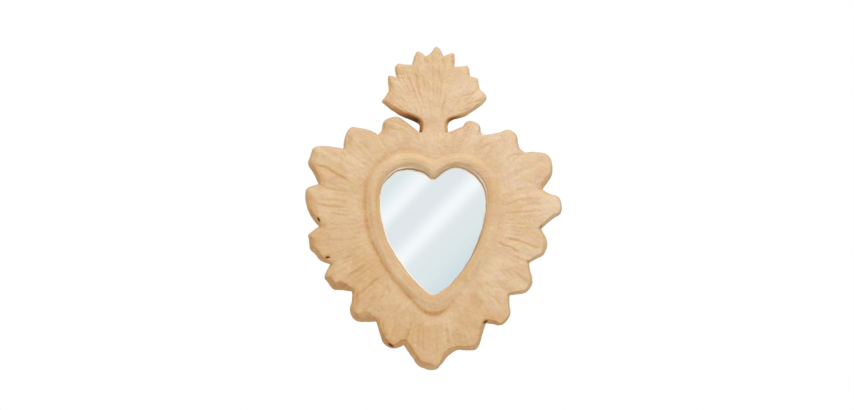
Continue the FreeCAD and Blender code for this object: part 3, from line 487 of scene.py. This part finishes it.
def back_depth(line):
    """Depth of a shell's back along its outline: the wall, or the board in the neck's channel."""
    channel = on_seam(line) & (np.abs(line[:, 0]) < channel_half - pair_gap / 2)
    return np.where(channel, board_front, 0.0)


def opened(bearing, reach, where, line, middle, start):
    """Line at a reach on each bearing, run out along the channel's sides where it opens into the neck."""
    side = channel_half / np.maximum(np.abs(np.sin(np.radians(bearing))), 1e-6)
    wide = np.maximum(reach, np.minimum(side, distance(line, middle)))
    return at_reach(bearing, np.where(where, wide, reach), middle, start)


def loops_of(*rows):
    """Loops of x, depth and z from rows of points x, z, each with one depth or a depth for every point."""
    return [np.stack([points[:, 0], np.broadcast_to(depth, len(points)), points[:, 1]], axis=-1)
            for points, depth in rows]


border_line = np.concatenate(
    [edge_of("ray_border", *round_heart, border_step), neck_columns(neck_half, -neck_half)])
border_bearing = bearing_of(border_line, *round_heart)
foot_line = line_at(opening_heart(bead_width + bead_joint), border_bearing, *round_heart)
# the rows of the grid lie closer together towards the edge
border_share = 1 - (1 - np.linspace(0, 1, border_rows)) ** 1.6
border_grid = foot_line + border_share[:, None, None] * (border_line - foot_line)
border_run = distance(border_grid, foot_line)
border_turn = bearing_of(border_grid, *round_heart)
border_reach = distance(border_grid, heart_middle)

# the groove between bead and rays: how far out from the bead's foot it runs, how much further below the
# heart's tip, how much it is filled on the right, and how dark the filled paper is
groove_out, groove_tip, groove_rise, groove_tone = 1.5, 5.8, 0.8, 0.06


def groove_fill(bearing):
    """How much of the groove is filled: 0 on the left, rising past the tip to 1 on the right and falling
    again towards the notch."""
    return smooth((bearing - 181) / 24) * smooth((325 - bearing) / 35)


def tip_drop(bearing):
    """How much further out from the bead the groove runs below the heart's tip: a bell curve."""
    return groove_tip * bell(bearing, 180, 14)


def groove_shade(bearing, run):
    """Painted shade along the groove: a bell curve across the run out from the bead's foot, closer in on the
    lower left and further out at the tip and over the left lobe. It is strong on the left and gone at the
    right."""
    over_lobe = bell(turn_from(bearing, 22), 0, 22)
    place = groove_out - 2.0 * smooth((bearing - 95) / 35) + tip_drop(bearing) + 2.0 * over_lobe
    strength = (0.5 + 0.5 * np.cos(np.radians(bearing - 130))) * (1 - groove_fill(bearing))
    strength += 0.32 * over_lobe + 0.05 * tip_drop(bearing)
    return 0.23 * strength * bell(run, place, 2.7)


def ray_height(bearing, reach, run):
    """Height of the border before pleats: it climbs from the bead's groove, crowns a little along each ray
    and sinks in a soft trough with a sharp fold at each valley, which dies away inwards from the edge."""
    climb, crown_run, trough_width, fold_width, valley_reach = 15, 34, 3.4, 0.9, 15
    dip = groove_out + tip_drop(bearing)
    foot = foot_depth + groove_rise * groove_fill(bearing)
    height = foot + (field_depth - foot) * smooth((run - dip) / climb)
    height += 0.16 * smooth((dip - run) / 5) * tip_drop(bearing)
    place = np.searchsorted(valleys, bearing)
    left, right = valleys[place - 1], valleys[place % len(valleys)]
    across = np.clip(((bearing - left) % 360) / ((right - left) % 360), 0, 1)
    height += smooth(run / crown_run) * 0.25 * (4 * across * (1 - across) - 0.6)
    for valley in valleys[1:-1]:
        aside = reach * np.radians(turn_from(bearing, valley))
        near = bell(reach, reach_along(border_edge, np.array([valley]), *round_heart), valley_reach)
        height -= (0.10 + 0.6 * near) * np.exp(-0.5 * (aside / trough_width) ** 2)
        height -= (0.08 + 0.4 * near) * np.exp(-0.5 * (aside / fold_width) ** 2)
    return height + 0.16 * smooth(run / 14) * streaks(bearing, reach, 3, 40)


seam_fade, beside_neck, beside_fade = 16.0, 9.0, 7.0
border_seam = smooth((border_grid[..., 1] - seam_rise + seam_fade) / seam_fade) * smooth(
    (neck_half + beside_neck - np.abs(border_grid[..., 0])) / beside_fade)
border_depth, border_tone = kraft_front(
    border_grid, ray_height(border_turn, border_reach, border_run), border_seam)
border_right = groove_fill(border_turn) * smooth((border_turn - 205) / 25)
border_tone += groove_shade(border_turn, border_run)
border_tone += groove_tone * border_right * (1 - smooth(border_run / 14))
border_tone += 0.022 * streaks(border_turn, border_reach, 14, 26)

# behind, a hollow with a ledge for the board, which opens into the neck's channel, and the seat for the pane
border_back = back_depth(border_line)
hollow_reach = reach_along(heart_line(0, *hollow_heart), border_bearing, *round_heart)
hollow_line = opened(border_bearing, hollow_reach, on_seam(border_line), border_line, *round_heart)
core_line = line_at(heart_line(-hollow_ledge, *hollow_heart), border_bearing, *round_heart)
hole_line = line_at(opening_heart(hole_spread), border_bearing, *round_heart)
border_loops = loops_of(
    *zip(border_grid, border_depth), (border_line, border_back), (hollow_line, border_back),
    (hollow_line, board_front), (core_line, board_front), (core_line, ceiling_depth),
    (hole_line, ceiling_depth), (hole_line, seat_depth), (foot_line, seat_depth))
ray_border = shell_piece("ray_border_skin", border_loops)
stain_and_shade(ray_border, border_tone)


def surface(name, colour, roughness, metallic=0.0):
    """New material with one shader, and its tree, shader and object coordinates."""
    material = bpy.data.materials.new(name)
    material.use_nodes = True
    tree = material.node_tree
    shader = tree.nodes["Principled BSDF"]
    shader.inputs["Base Color"].default_value = (*colour, 1)
    shader.inputs["Roughness"].default_value = roughness
    shader.inputs["Metallic"].default_value = metallic
    place = tree.nodes.new("ShaderNodeTexCoord").outputs["Object"]
    return material, tree, shader, place


def srgb(red, green, blue):
    """Linear colour from sRGB values of 0 to 255."""
    parts = np.array([red, green, blue]) / 255
    return tuple(np.where(parts <= 0.04045, parts / 12.92, ((parts + 0.055) / 1.055) ** 2.4).tolist())


def noise(tree, place, scale, detail, stretch=(1, 1, 1), turn=0.0):
    """Noise texture over object coordinates, stretched and turned by a mapping."""
    mapping = tree.nodes.new("ShaderNodeMapping")
    mapping.inputs["Scale"].default_value = stretch
    mapping.inputs["Rotation"].default_value = (0, turn, 0)
    texture = tree.nodes.new("ShaderNodeTexNoise")
    texture.inputs["Scale"].default_value = scale
    texture.inputs["Detail"].default_value = detail
    tree.links.new(place, mapping.inputs["Vector"])
    tree.links.new(mapping.outputs["Vector"], texture.inputs["Vector"])
    return texture.outputs["Fac"]


def combine(tree, operation, first, second):
    """One number from two by a math operation; the second may be a plain number."""
    node = tree.nodes.new("ShaderNodeMath")
    node.operation = operation
    tree.links.new(first, node.inputs[0])
    if isinstance(second, (int, float)):
        node.inputs[1].default_value = second
    else:
        tree.links.new(second, node.inputs[1])
    return node.outputs["Value"]


def scaled(tree, value, amount):
    """A number times an amount."""
    return combine(tree, "MULTIPLY", value, amount)


def add_up(tree, first, *others):
    """Sum of some numbers."""
    for other in others:
        first = combine(tree, "ADD", first, other)
    return first


def far_along(tree, place, direction):
    """How far a place lies along a direction: their dot product."""
    node = tree.nodes.new("ShaderNodeVectorMath")
    node.operation = "DOT_PRODUCT"
    node.inputs[1].default_value = direction
    tree.links.new(place, node.inputs[0])
    return node.outputs["Value"]


def stain_and_shade_of(tree):
    """The stain and painted shade kept on the mesh."""
    marks = tree.nodes.new("ShaderNodeAttribute")
    marks.attribute_name = "stain_and_shade"
    return marks.outputs["Fac"]


def ramp(tree, value, stops):
    """Colour ramp over a value: position and linear colour of each stop."""
    band = tree.nodes.new("ShaderNodeValToRGB")
    while len(band.color_ramp.elements) < len(stops):
        band.color_ramp.elements.new(0.5)
    for element, (position, colour) in zip(band.color_ramp.elements, stops):
        element.position = position
        element.color = (*colour, 1)
    tree.links.new(value, band.inputs["Fac"])
    return band.outputs["Color"]


def paint(tree, shader, value, *stops):
    """Base colour by a ramp over a value."""
    tree.links.new(ramp(tree, value, stops), shader.inputs["Base Color"])


def roughen(tree, shader, value, least, spread):
    """Roughness from least upwards, by a spread times a value."""
    tree.links.new(add_up(tree, scaled(tree, value, spread), least), shader.inputs["Roughness"])


def bump(tree, shader, height, strength, size):
    """Fine relief in the material only."""
    node = tree.nodes.new("ShaderNodeBump")
    node.inputs["Strength"].default_value = strength
    node.inputs["Distance"].default_value = size
    tree.links.new(height, node.inputs["Height"])
    tree.links.new(node.outputs["Normal"], shader.inputs["Normal"])


def strip_pattern(tree, place):
    """Torn strips laid over each other: squarish cells, each a shade of its own, with a thin raised edge.
    Returns the shade and the edge."""
    cells = tree.nodes.new("ShaderNodeTexVoronoi")
    cells.distance = "CHEBYCHEV"
    rims = tree.nodes.new("ShaderNodeTexVoronoi")
    rims.feature = "DISTANCE_TO_EDGE"
    for texture in (cells, rims):
        texture.inputs["Scale"].default_value = 36
        tree.links.new(place, texture.inputs["Vector"])
    parts = tree.nodes.new("ShaderNodeSeparateColor")
    tree.links.new(cells.outputs["Color"], parts.inputs["Color"])
    near = tree.nodes.new("ShaderNodeMapRange")
    near.inputs["From Max"].default_value = 0.03
    near.inputs["To Max"].default_value = 0.35
    tree.links.new(rims.outputs["Distance"], near.inputs["Value"])
    return scaled(tree, parts.outputs["Red"], 0.09), near.outputs["Result"]


# the paper's level of brown: mottled, with crossing fibres and strips, and darker to the lower left as
# painted shade
kraft, tree, shader, place = surface("kraft_paper", srgb(222, 190, 145), 0.78)
mottle = scaled(tree, noise(tree, place, 30, 6), 0.34)
fibre = scaled(tree, noise(tree, place, 420, 3, (1, 1, 0.3), 0.5), 0.10)
weave = scaled(tree, noise(tree, place, 420, 3, (0.3, 1, 1), -0.4), 0.10)
strips, strip_edge = strip_pattern(tree, place)
lower_left_shade = far_along(tree, place, (-0.30, 0, -0.50))
level = add_up(tree, mottle, fibre, weave, strips, lower_left_shade, -0.30, stain_and_shade_of(tree))
# the shades of the strips, tinted in patches from ochre to rosy
shades = ramp(tree, level, (
    (0.0, srgb(229, 201, 170)), (0.14, srgb(220, 186, 145)), (0.30, srgb(211, 169, 117)),
    (0.50, srgb(192, 134, 77)), (0.75, srgb(130, 79, 36)), (1.0, srgb(48, 28, 14))))
tints = ramp(tree, noise(tree, place, 62, 3), (
    (0.36, (0.98, 0.99, 0.91)), (0.5, (0.995, 0.99, 0.98)), (0.64, (1.0, 0.965, 0.995))))
blend = tree.nodes.new("ShaderNodeMix")
blend.data_type = "RGBA"
blend.blend_type = "MULTIPLY"
blend.inputs["Factor"].default_value = 1.0
tree.links.new(shades, blend.inputs["A"])
tree.links.new(tints, blend.inputs["B"])
tree.links.new(blend.outputs["Result"], shader.inputs["Base Color"])
wrinkle = combine(tree, "ABSOLUTE", add_up(tree, noise(tree, place, 240, 5), -0.5), 0.0)
grain = add_up(tree, scaled(tree, noise(tree, place, 900, 4), 0.5), wrinkle, strip_edge)
bump(tree, shader, grain, 0.5, 0.0012)
roughen(tree, shader, noise(tree, place, 60, 3), 0.66, 0.2)

ray_border.data.materials.append(kraft)
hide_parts("ray_border")
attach(ray_border, "frame")


# Fan crest: a scalloped fan on a short neck, of the same kraft papier-mache, butted and pasted to the top
# of the border. Its pleats spread from the neck to the scallops, and both wings roll under at their
# lower edges. A shallow hollow behind takes the tongue of the backing board.
fan_rows, fan_step = 62, 0.72
fan_height, fan_fade = 16.4, 14.0
slot_rise, slot_spread, slot_radius, slot_ledge, slot_ceiling = 42.0, 12.0, 25.0, 4.0, 10.5
crown_tone = 0.1

# the valleys between the scallops at the edge: x, and rise above the seam
scallop_valleys = ((48.5, 45.5), (38.7, 59), (22.2, 69.4), (10.6, 80.5), (-8.5, 80.5), (-22.8, 71.5),
                   (-38.7, 57.7), (-47.7, 43.4))


def stadium(radius):
    """Slot with round ends: two half circles joined by straight lines, anticlockwise."""
    half = np.linspace(-math.pi / 2, math.pi / 2, 90)
    right = np.stack([slot_spread + radius * np.cos(half), radius * np.sin(half)], axis=-1)
    level_run = np.linspace(slot_spread, -slot_spread, 40)[1:-1]
    top = np.stack([level_run, np.full(len(level_run), radius)], axis=-1)
    return np.concatenate([right, top, -right, -top]) + [0.0, seam_rise + slot_rise]


def scallop_height(points, turn, out):
    """Height of the fan before pleats: level round the spine, sinking between the scallops in soft folds
    that spread from the neck and deepen towards the edge."""
    trough_width, fold_width = 2.6, 0.9
    height = np.full(out.shape, fan_height)
    open_out = smooth((out - 26) / 50)
    for x, rise in scallop_valleys:
        valley = np.array([x, seam_rise + rise])
        leg = (valley - fan_root) / np.hypot(*(valley - fan_root))
        aside = (points - fan_root) @ np.array([-leg[1], leg[0]])
        height -= 0.5 * open_out * np.exp(-0.5 * (aside / trough_width) ** 2)
        height -= 0.25 * open_out * np.exp(-0.5 * (aside / fold_width) ** 2)
    return height + 0.16 * smooth((out - 18) / 20) * streaks(turn, out, 11, 40)


fan_line = np.concatenate(
    [edge_of("fan_crest", *round_fan, fan_step), neck_columns(-neck_half, neck_half)])
fan_bearing = bearing_of(fan_line, *round_fan)
fan_share = 1 - (1 - np.linspace(0.012, 1, fan_rows)) ** 1.35
fan_grid = fan_middle + fan_share[:, None, None] * (fan_line - fan_middle)
fan_turn = bearing_of(fan_grid, *round_root)
fan_out = distance(fan_grid, fan_root)
fan_seam = smooth((seam_rise + fan_fade - fan_grid[..., 1]) / fan_fade)
fan_depth, fan_tone = kraft_front(fan_grid, scallop_height(fan_grid, fan_turn, fan_out), fan_seam)
fan_tone += smooth((fan_out - 14) / 20) * (0.04 + 0.026 * streaks(fan_turn, fan_out, 13, 26))

# behind, a slot with a ledge for the board's tongue, which opens into the neck's channel
fan_back = back_depth(fan_line)
slot_reach = reach_along(stadium(slot_radius), fan_bearing, *round_fan)
slot_below = fan_rise - slot_rise + slot_radius
in_throat = np.abs(turn_from(fan_bearing, 0)) < math.degrees(math.atan2(channel_half, slot_below))
slot_line = opened(fan_bearing, slot_reach, in_throat, fan_line, *round_fan)
slot_core = line_at(stadium(slot_radius - slot_ledge), fan_bearing, *round_fan)
fan_loops = loops_of(
    *zip(fan_grid, fan_depth), (fan_line, fan_back), (slot_line, fan_back), (slot_line, board_front),
    (slot_core, board_front), (slot_core, slot_ceiling))
fan_crown = np.array([fan_middle[0], fan_depth[0].mean(), fan_middle[1]])
fan_roof = np.array([fan_middle[0], slot_ceiling, fan_middle[1]])
fan_crest = shell_piece("fan_crest_skin", fan_loops, (fan_crown, fan_roof))
stain_and_shade(fan_crest, fan_tone)
fan_crest.data.attributes["stain_and_shade"].data[-2].value = crown_tone
fan_crest.data.materials.append(kraft)
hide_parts("fan_crest")
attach(fan_crest, "frame")


# Opening bead: a roll of pasted paper round the heart, pressed into its seat in the border and smoothed
# down to it with the last strips, so that it meets the rays in a soft groove.
bead_floor, bead_spring, bead_crest, bead_peak = 13.7, 17.7, 20.68, 20.7
bead_inner, bead_crown = 1.0, 7.4
low_spring, low_crest = 0.6, 1.2
bead_count = 640
rise_part = np.linspace(0, 1, 16)
fall_part = np.linspace(0, 1, 20)[1:]
bead_offset = np.concatenate([
    [bead_inner], bead_inner + (bead_crown - bead_inner) * rise_part,
    bead_crown + (bead_width - bead_crown) * fall_part, [bead_width]])
bead_path = opening_heart(bead_width / 2)
bead_columns = points_at(bead_path, np.linspace(0, run_along(bead_path)[-1], bead_count + 1)[:-1])
bead_bearing = bearing_of(bead_columns, *round_heart)


def soft_reach(line):
    """Distance from the heart's middle to a heart line on the bead's bearings, its notch rounded: the mean
    over a few bearings to either side, as far as the bearing is near the notch."""
    notch = np.exp(-turn_from(bead_bearing, 0) ** 2 / 60)
    shifts = np.linspace(-5, 5, 11)
    near = [reach_along(line, (bead_bearing + shift * notch) % 360, *round_heart) for shift in shifts]
    return np.mean(near, axis=0)


bead_reach = np.stack([soft_reach(opening_heart(offset)) for offset in bead_offset])
bead_grid = at_reach(bead_bearing, bead_reach, *round_heart)
# beside the notch the roll stands highest above its inner edge; elsewhere it is lower and flatter
bead_top = by_bearing(
    bead_bearing, (0, 0.7), (8, 1.0), (18, 0.9), (30, 0.5), (45, 0.2), (70, 0.0), (290, 0.0), (312, 0.1),
    (326, 0.7), (340, 1.0), (352, 0.9))
spring = bead_spring + (1 - bead_top) * low_spring
crest = bead_crest - low_crest * (1 - bead_top)
foot = foot_depth + groove_rise * groove_fill(bead_bearing)
# the inner slope is gentle on the left and steep, with a level top, on the right
gentle = (0.55 * smooth(rise_part / 0.4) + 0.45 * rise_part)[:, None]
steep = (0.8 * np.clip(rise_part / 0.45, 0, 1) + 0.2 * rise_part)[:, None]
rise_share = gentle + (steep - gentle) * (0.5 - 0.5 * np.sin(np.radians(bead_bearing)))
fall_share = (0.5 + 0.5 * np.cos(math.pi * fall_part))[:, None]
floor_row = np.full((1, bead_count), bead_floor)
bead_depth = np.concatenate([
    floor_row, spring + (crest - spring) * rise_share, foot + (crest - foot) * fall_share, floor_row])
bead_swell = np.clip((bead_depth - foot) / (bead_crest - foot), 0, 1)
bead_uneven = hand_laid(bead_grid, 0.30) + 0.4 * lumps(bead_grid, 8, 12, 30, 70)
bead_sunk, bead_shade = crease_field(bead_grid)
bead_front = np.minimum(bead_depth + bead_swell * (bead_uneven - 0.5 - bead_sunk), bead_crest)
bead_front[np.unravel_index(bead_front.argmax(), bead_front.shape)] = bead_peak
opening_bead = shell_piece("opening_bead_skin", loops_of(*zip(bead_grid, bead_front)))

# stain and painted shade: painted shade in the groove, a brown line by the opening on the left, painted shade
# on the inner slope, less by the notch, and painted shade at the lip right of the notch
inwards = bead_offset[:, None]
bead_tone = plain_tone + crease_shade_tone * bead_shade + groove_shade(bead_bearing, inwards - bead_width)
bead_tone += 0.13 * bell(bead_bearing, 65, 35) * bell(inwards, 2.6, 1.3)
bead_tone += smooth((7.0 - inwards) / 3.0) * (0.04 - 0.05 * bead_top)
bead_tone += 0.03 * np.cos(np.radians(bead_bearing)) + groove_tone * groove_fill(bead_bearing)
bead_tone += 0.15 * smooth((5.5 - inwards) / 3.0) * bell(bead_bearing, 341, 13)
stain_and_shade(opening_bead, bead_tone)
opening_bead.data.materials.append(kraft)
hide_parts("opening_bead")
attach(opening_bead, "frame")


# Opening liner: a strip of paper pasted into the opening that slopes in from the bead's lip to the glass,
# most of all under the lobes. Its brown is partly its own and partly painted shade, and its raw edge on the
# glass is pale, whitened as a painted highlight.
liner_floor, liner_top, liner_thick = 11.7, 15.9, 0.8
raw_edge, slope_start, crest_spread = 0.45, 0.6, 0.3
lip_tone = 0.24
sight_shift, sight_drop, sight_turn = 1.2, 2.9, math.radians(1.8)
sight_heart = heart_line(0, lobe_spread - sight_shift, lobe_rise - sight_drop, lobe_radius, side_radius,
                         tip_radius, side_turn - sight_turn)
# how much further the strip runs over the glass than that heart
overlap = by_bearing(
    bead_bearing, (0, 2.8), (6, 3.8), (18, 4.6), (24, 4.0), (36, 1.8), (48, 1.6), (56, 0.4), (66, 0.0),
    (100, 0.0), (120, 1.2), (132, 2.0), (144, 2.6), (156, 2.2), (166, 1.6), (174, 1.0), (182, 0.7),
    (192, -0.8), (205, 0.2), (228, 0.9), (240, 1.4), (290, 1.6), (300, 2.6), (312, 3.2), (324, 2.6),
    (332, 0.8), (342, 0.6), (348, 2.2), (354, 3.4))
sight_reach = soft_reach(sight_heart) - overlap
lip_reach = soft_reach(opening_heart(0))
bore_reach = soft_reach(opening_heart(liner_thick))
# the raw edge stands half a millimetre high on the glass, and behind it the strip slopes up to the lip
ledge = np.minimum(1.0 + 0.9 * bell(bead_bearing, 16, 12), 0.5 * (lip_reach - sight_reach))
liner_part = np.linspace(0, 1, 13)[:, None]
liner_wave = 0.25 * lumps(bead_columns[None], 17, 20, 6, 24)
slope_reach = sight_reach + ledge + liner_part * (lip_reach - sight_reach - ledge)
slope_reach += liner_wave * (1 - liner_part)
liner_reach = np.concatenate([np.minimum(slope_reach[:1], lip_reach) - ledge] * 2 + [slope_reach])
liner_depth = np.append([liner_floor, liner_floor + raw_edge],
                        np.linspace(liner_floor + slope_start, liner_top, len(liner_part)))
liner_grid = at_reach(bead_bearing, np.minimum(liner_reach, lip_reach), *round_heart)
liner_crest = at_reach(bead_bearing, bore_reach + crest_spread, *round_heart)
liner_bore = at_reach(bead_bearing, bore_reach, *round_heart)
liner_loops = loops_of(*zip(liner_grid, liner_depth), (liner_crest, liner_top), (liner_bore, liner_floor))
opening_liner = shell_piece("opening_liner_skin", liner_loops)

# how strongly the pale edge shows, weak on the lower right where the dark rim is a painted shadow line, and
# how brown the slope is, partly painted shade, most by the notch and on the lower right
pale = by_bearing(
    bead_bearing, (0, 0.8), (15, 1.0), (150, 1.0), (175, 0.9), (195, 0.2), (240, 0.1), (265, 0.4), (285, 1.0),
    (320, 1.0), (340, 0.9))
brown = by_bearing(
    bead_bearing, (0, 0.42), (12, 0.50), (22, 0.50), (32, 0.38), (45, 0.32), (90, 0.28), (140, 0.40),
    (180, 0.42), (235, 0.48), (270, 0.44), (300, 0.36), (318, 0.36), (335, 0.46), (350, 0.46))
rim_tone = brown * (1 - pale)
liner_share = np.linspace(0, 1, len(liner_depth))[:, None]
liner_tone = rim_tone + (brown - rim_tone) * smooth((liner_share - 0.15) / 0.12)
liner_tone += (lip_tone - liner_tone) * smooth((liner_share - 0.35) / 0.6)
# over each lobe the strip has painted shade in a hollow by the glass and a painted glint on a fold above it
lobe_shade_and_glint = bell(bead_bearing, 34, 20) + 0.8 * bell(bead_bearing, 308, 16)
liner_tone += lobe_shade_and_glint * (0.22 * bell(liner_share, 0.32, 0.12) - 0.26 * bell(liner_share, 0.66, 0.13))
stain_and_shade(opening_liner, np.concatenate([liner_tone.ravel(), liner_tone[-1], brown]))

liner, tree, shader, place = surface("liner_paper", srgb(246, 232, 208), 0.8)
level = add_up(tree, scaled(tree, noise(tree, place, 90, 4), 0.16), stain_and_shade_of(tree))
paint(tree, shader, level,
      (0.0, srgb(255, 253, 250)), (0.16, srgb(243, 230, 211)), (0.36, srgb(212, 178, 134)),
      (0.62, srgb(164, 128, 88)), (0.9, srgb(104, 72, 44)))
bump(tree, shader, noise(tree, place, 700, 4), 0.25, 0.0004)
opening_liner.data.materials.append(liner)
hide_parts("opening_liner")
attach(opening_liner, "frame")


# Mirror pane: float glass, silvered behind and cut to a heart a little larger than the opening. It lies
# in the card ring behind the border's seat.
def dress(material, *names):
    """Gives CAD nodes their material."""
    for name in names:
        piece = nodes[name]
        piece.data.materials.clear()
        piece.data.materials.append(material)


glass, tree, shader, place = surface("mirror_glass", (0.94, 0.945, 0.945), 0.02, 1.0)
roughen(tree, shader, noise(tree, place, 25, 3), 0.005, 0.03)
dress(glass, "mirror_pane")


# Grey board: the card ring round the pane, the backer behind it, the backing board and the hanger's cleat
# are cut from the same pulp board.
board, tree, shader, place = surface("grey_board", srgb(168, 158, 142), 0.85)
paint(tree, shader, noise(tree, place, 260, 6),
      (0.3, srgb(146, 136, 120)), (0.55, srgb(170, 160, 143)), (0.75, srgb(190, 181, 166)))
bump(tree, shader, noise(tree, place, 900, 5), 0.3, 0.0003)
dress(board, "pane_frame", "pane_backer", "back_board", "hanger_cleat")


# Gummed strips: five short paper tapes, wetted and pressed down, that hold the pane and its backer
# against the seat.
tape, tree, shader, place = surface("gummed_paper", srgb(196, 158, 108), 0.6)
paint(tree, shader, noise(tree, place, 300, 4), (0.3, srgb(183, 144, 95)), (0.7, srgb(205, 170, 122)))
bump(tree, shader, noise(tree, place, 800, 3), 0.2, 0.0002)
dress(tape, "pane_tapes")


# Back paper: one sheet of plain ribbed kraft, pasted over the board to cover it, with a window for the
# hanger.
back_kraft, tree, shader, place = surface("back_kraft", srgb(197, 160, 114), 0.75)
ribs = noise(tree, place, 500, 2, (1, 1, 0.05))
level = add_up(tree, scaled(tree, ribs, 0.4), noise(tree, place, 40, 5))
paint(tree, shader, level, (0.35, srgb(184, 146, 100)), (1.0, srgb(212, 177, 131)))
bump(tree, shader, add_up(tree, ribs, noise(tree, place, 900, 3)), 0.2, 0.0002)
dress(back_kraft, "back_paper")


# Hanger: a folded strap of tinned sheet steel, riveted to the cleat over two washers, holds a D-ring of
# plated wire that swings up to take the nail.
def worn_steel(name, colour, roughness):
    """Worn plated steel: noise varies its roughness and dulls its colour."""
    material, tree, shader, place = surface(name, colour, roughness, 1.0)
    worn = noise(tree, place, 600, 4)
    dull = tuple(part * 0.72 for part in colour)
    paint(tree, shader, worn, (0.35, dull), (0.6, colour))
    roughen(tree, shader, worn, roughness, 0.2)
    bump(tree, shader, noise(tree, place, 1500, 2), 0.1, 0.0001)
    return material


dress(worn_steel("hanger_steel", (0.62, 0.60, 0.56), 0.28), "hanger_strap")
dress(worn_steel("ring_steel", (0.70, 0.68, 0.64), 0.16), "hanger_ring")
dress(worn_steel("rivet_steel", (0.58, 0.56, 0.53), 0.30), "hanger_rivets", "rivet_washers")


# Studio: the mirror hangs in front of plain white, lit softly from above, over a pale floor below the
# picture. The glass shows a pale screen with two broad soft windows that stands behind the camera. Metres.
camera_away, camera_side, camera_rise = 2.2, -0.0069, 0.0265
view_width, front_depth, sensor_width = 0.9044, 0.016, 36.0
floor_corner, floor_width, floor_length = (-3.0, -4.0, -0.42), 6.0, 6.2
screen_corner, screen_side = (-0.45, -2.7, -0.4), 0.9
band_slope, band_span, band_shift = math.radians(46), 0.32, 0.434
ambient = 0.50

camera_data = bpy.data.cameras.new("camera")
camera_data.sensor_width = sensor_width
camera_data.lens = sensor_width * (camera_away - front_depth) / view_width
camera = placed("camera", camera_data)
camera.location = (camera_side, -camera_away, camera_rise)
camera.rotation_euler = (math.pi / 2, 0, 0)
bpy.context.scene.camera = camera


def flat_panel(name, corner, one_side, other_side, material):
    """Flat stage piece from a corner and the two sides that meet there."""
    corner, one_side, other_side = np.array([corner, one_side, other_side])
    corners = [corner, corner + one_side, corner + one_side + other_side, corner + other_side]
    mesh = bpy.data.meshes.new(name)
    mesh.from_pydata(corners, [], [(0, 1, 2, 3)])
    mesh.materials.append(material)
    panel = placed(name, mesh)
    return panel


floor_paint = surface("floor_paint", (0.85, 0.85, 0.85), 0.9)[0]
flat_panel("floor", floor_corner, (floor_width, 0, 0), (0, floor_length, 0), floor_paint)

screen_paint = bpy.data.materials.new("screen_paint")
screen_paint.use_nodes = True
tree = screen_paint.node_tree
tree.nodes.clear()
place = tree.nodes.new("ShaderNodeTexCoord").outputs["Object"]
slant = far_along(tree, place, (math.sin(band_slope), 0, -math.cos(band_slope)))
bands = ramp(tree, add_up(tree, combine(tree, "DIVIDE", slant, band_span), band_shift), (
    (0.06, srgb(225, 236, 239)), (0.205, srgb(249, 253, 255)), (0.30, srgb(229, 236, 239)),
    (0.38, srgb(230, 236, 240)), (0.50, srgb(250, 254, 255)), (0.61, srgb(230, 237, 239)),
    (0.72, srgb(226, 237, 237)), (0.88, srgb(215, 228, 234))))
bands.node.color_ramp.interpolation = "EASE"
glow = tree.nodes.new("ShaderNodeEmission")
tree.links.new(bands, glow.inputs["Color"])
output = tree.nodes.new("ShaderNodeOutputMaterial")
tree.links.new(glow.outputs["Emission"], output.inputs["Surface"])
screen = flat_panel("screen", screen_corner, (0, 0, screen_side), (screen_side, 0, 0), screen_paint)
screen.visible_camera = False


def soft_lamp(name, place_at, aim, width, height, power):
    """Large area lamp that faces a point."""
    data = bpy.data.lights.new(name, "AREA")
    data.shape = "RECTANGLE"
    data.size, data.size_y, data.energy = width, height, power
    lamp = placed(name, data)
    lamp.location = place_at
    away = np.array(aim) - np.array(place_at)
    lamp.rotation_euler = (math.acos(-away[2] / np.linalg.norm(away)), 0,
                           math.atan2(away[1], away[0]) - math.pi / 2)


soft_lamp("key", (0.25, -1.25, 1.65), (0, 0, 0.02), 1.4, 1.0, 23)
soft_lamp("fill", (-1.2, -1.8, 0.5), (0, 0, 0), 1.2, 1.2, 4)
soft_lamp("low", (1.3, -1.4, -0.3), (0, 0, 0), 1.0, 0.8, 4)

world = bpy.data.worlds.new("studio")
bpy.context.scene.world = world
world.use_nodes = True
tree = world.node_tree
sky = tree.nodes["Background"]
sky.inputs["Color"].default_value = (1, 1, 1, 1)
rays = tree.nodes.new("ShaderNodeLightPath").outputs
direct = combine(tree, "MAXIMUM", rays["Is Camera Ray"], rays["Is Glossy Ray"])
direct = combine(tree, "MAXIMUM", direct, rays["Is Transmission Ray"])
tree.links.new(add_up(tree, scaled(tree, direct, 1 - ambient), ambient), sky.inputs["Strength"])
bpy.context.scene.view_settings.view_transform = "Standard"
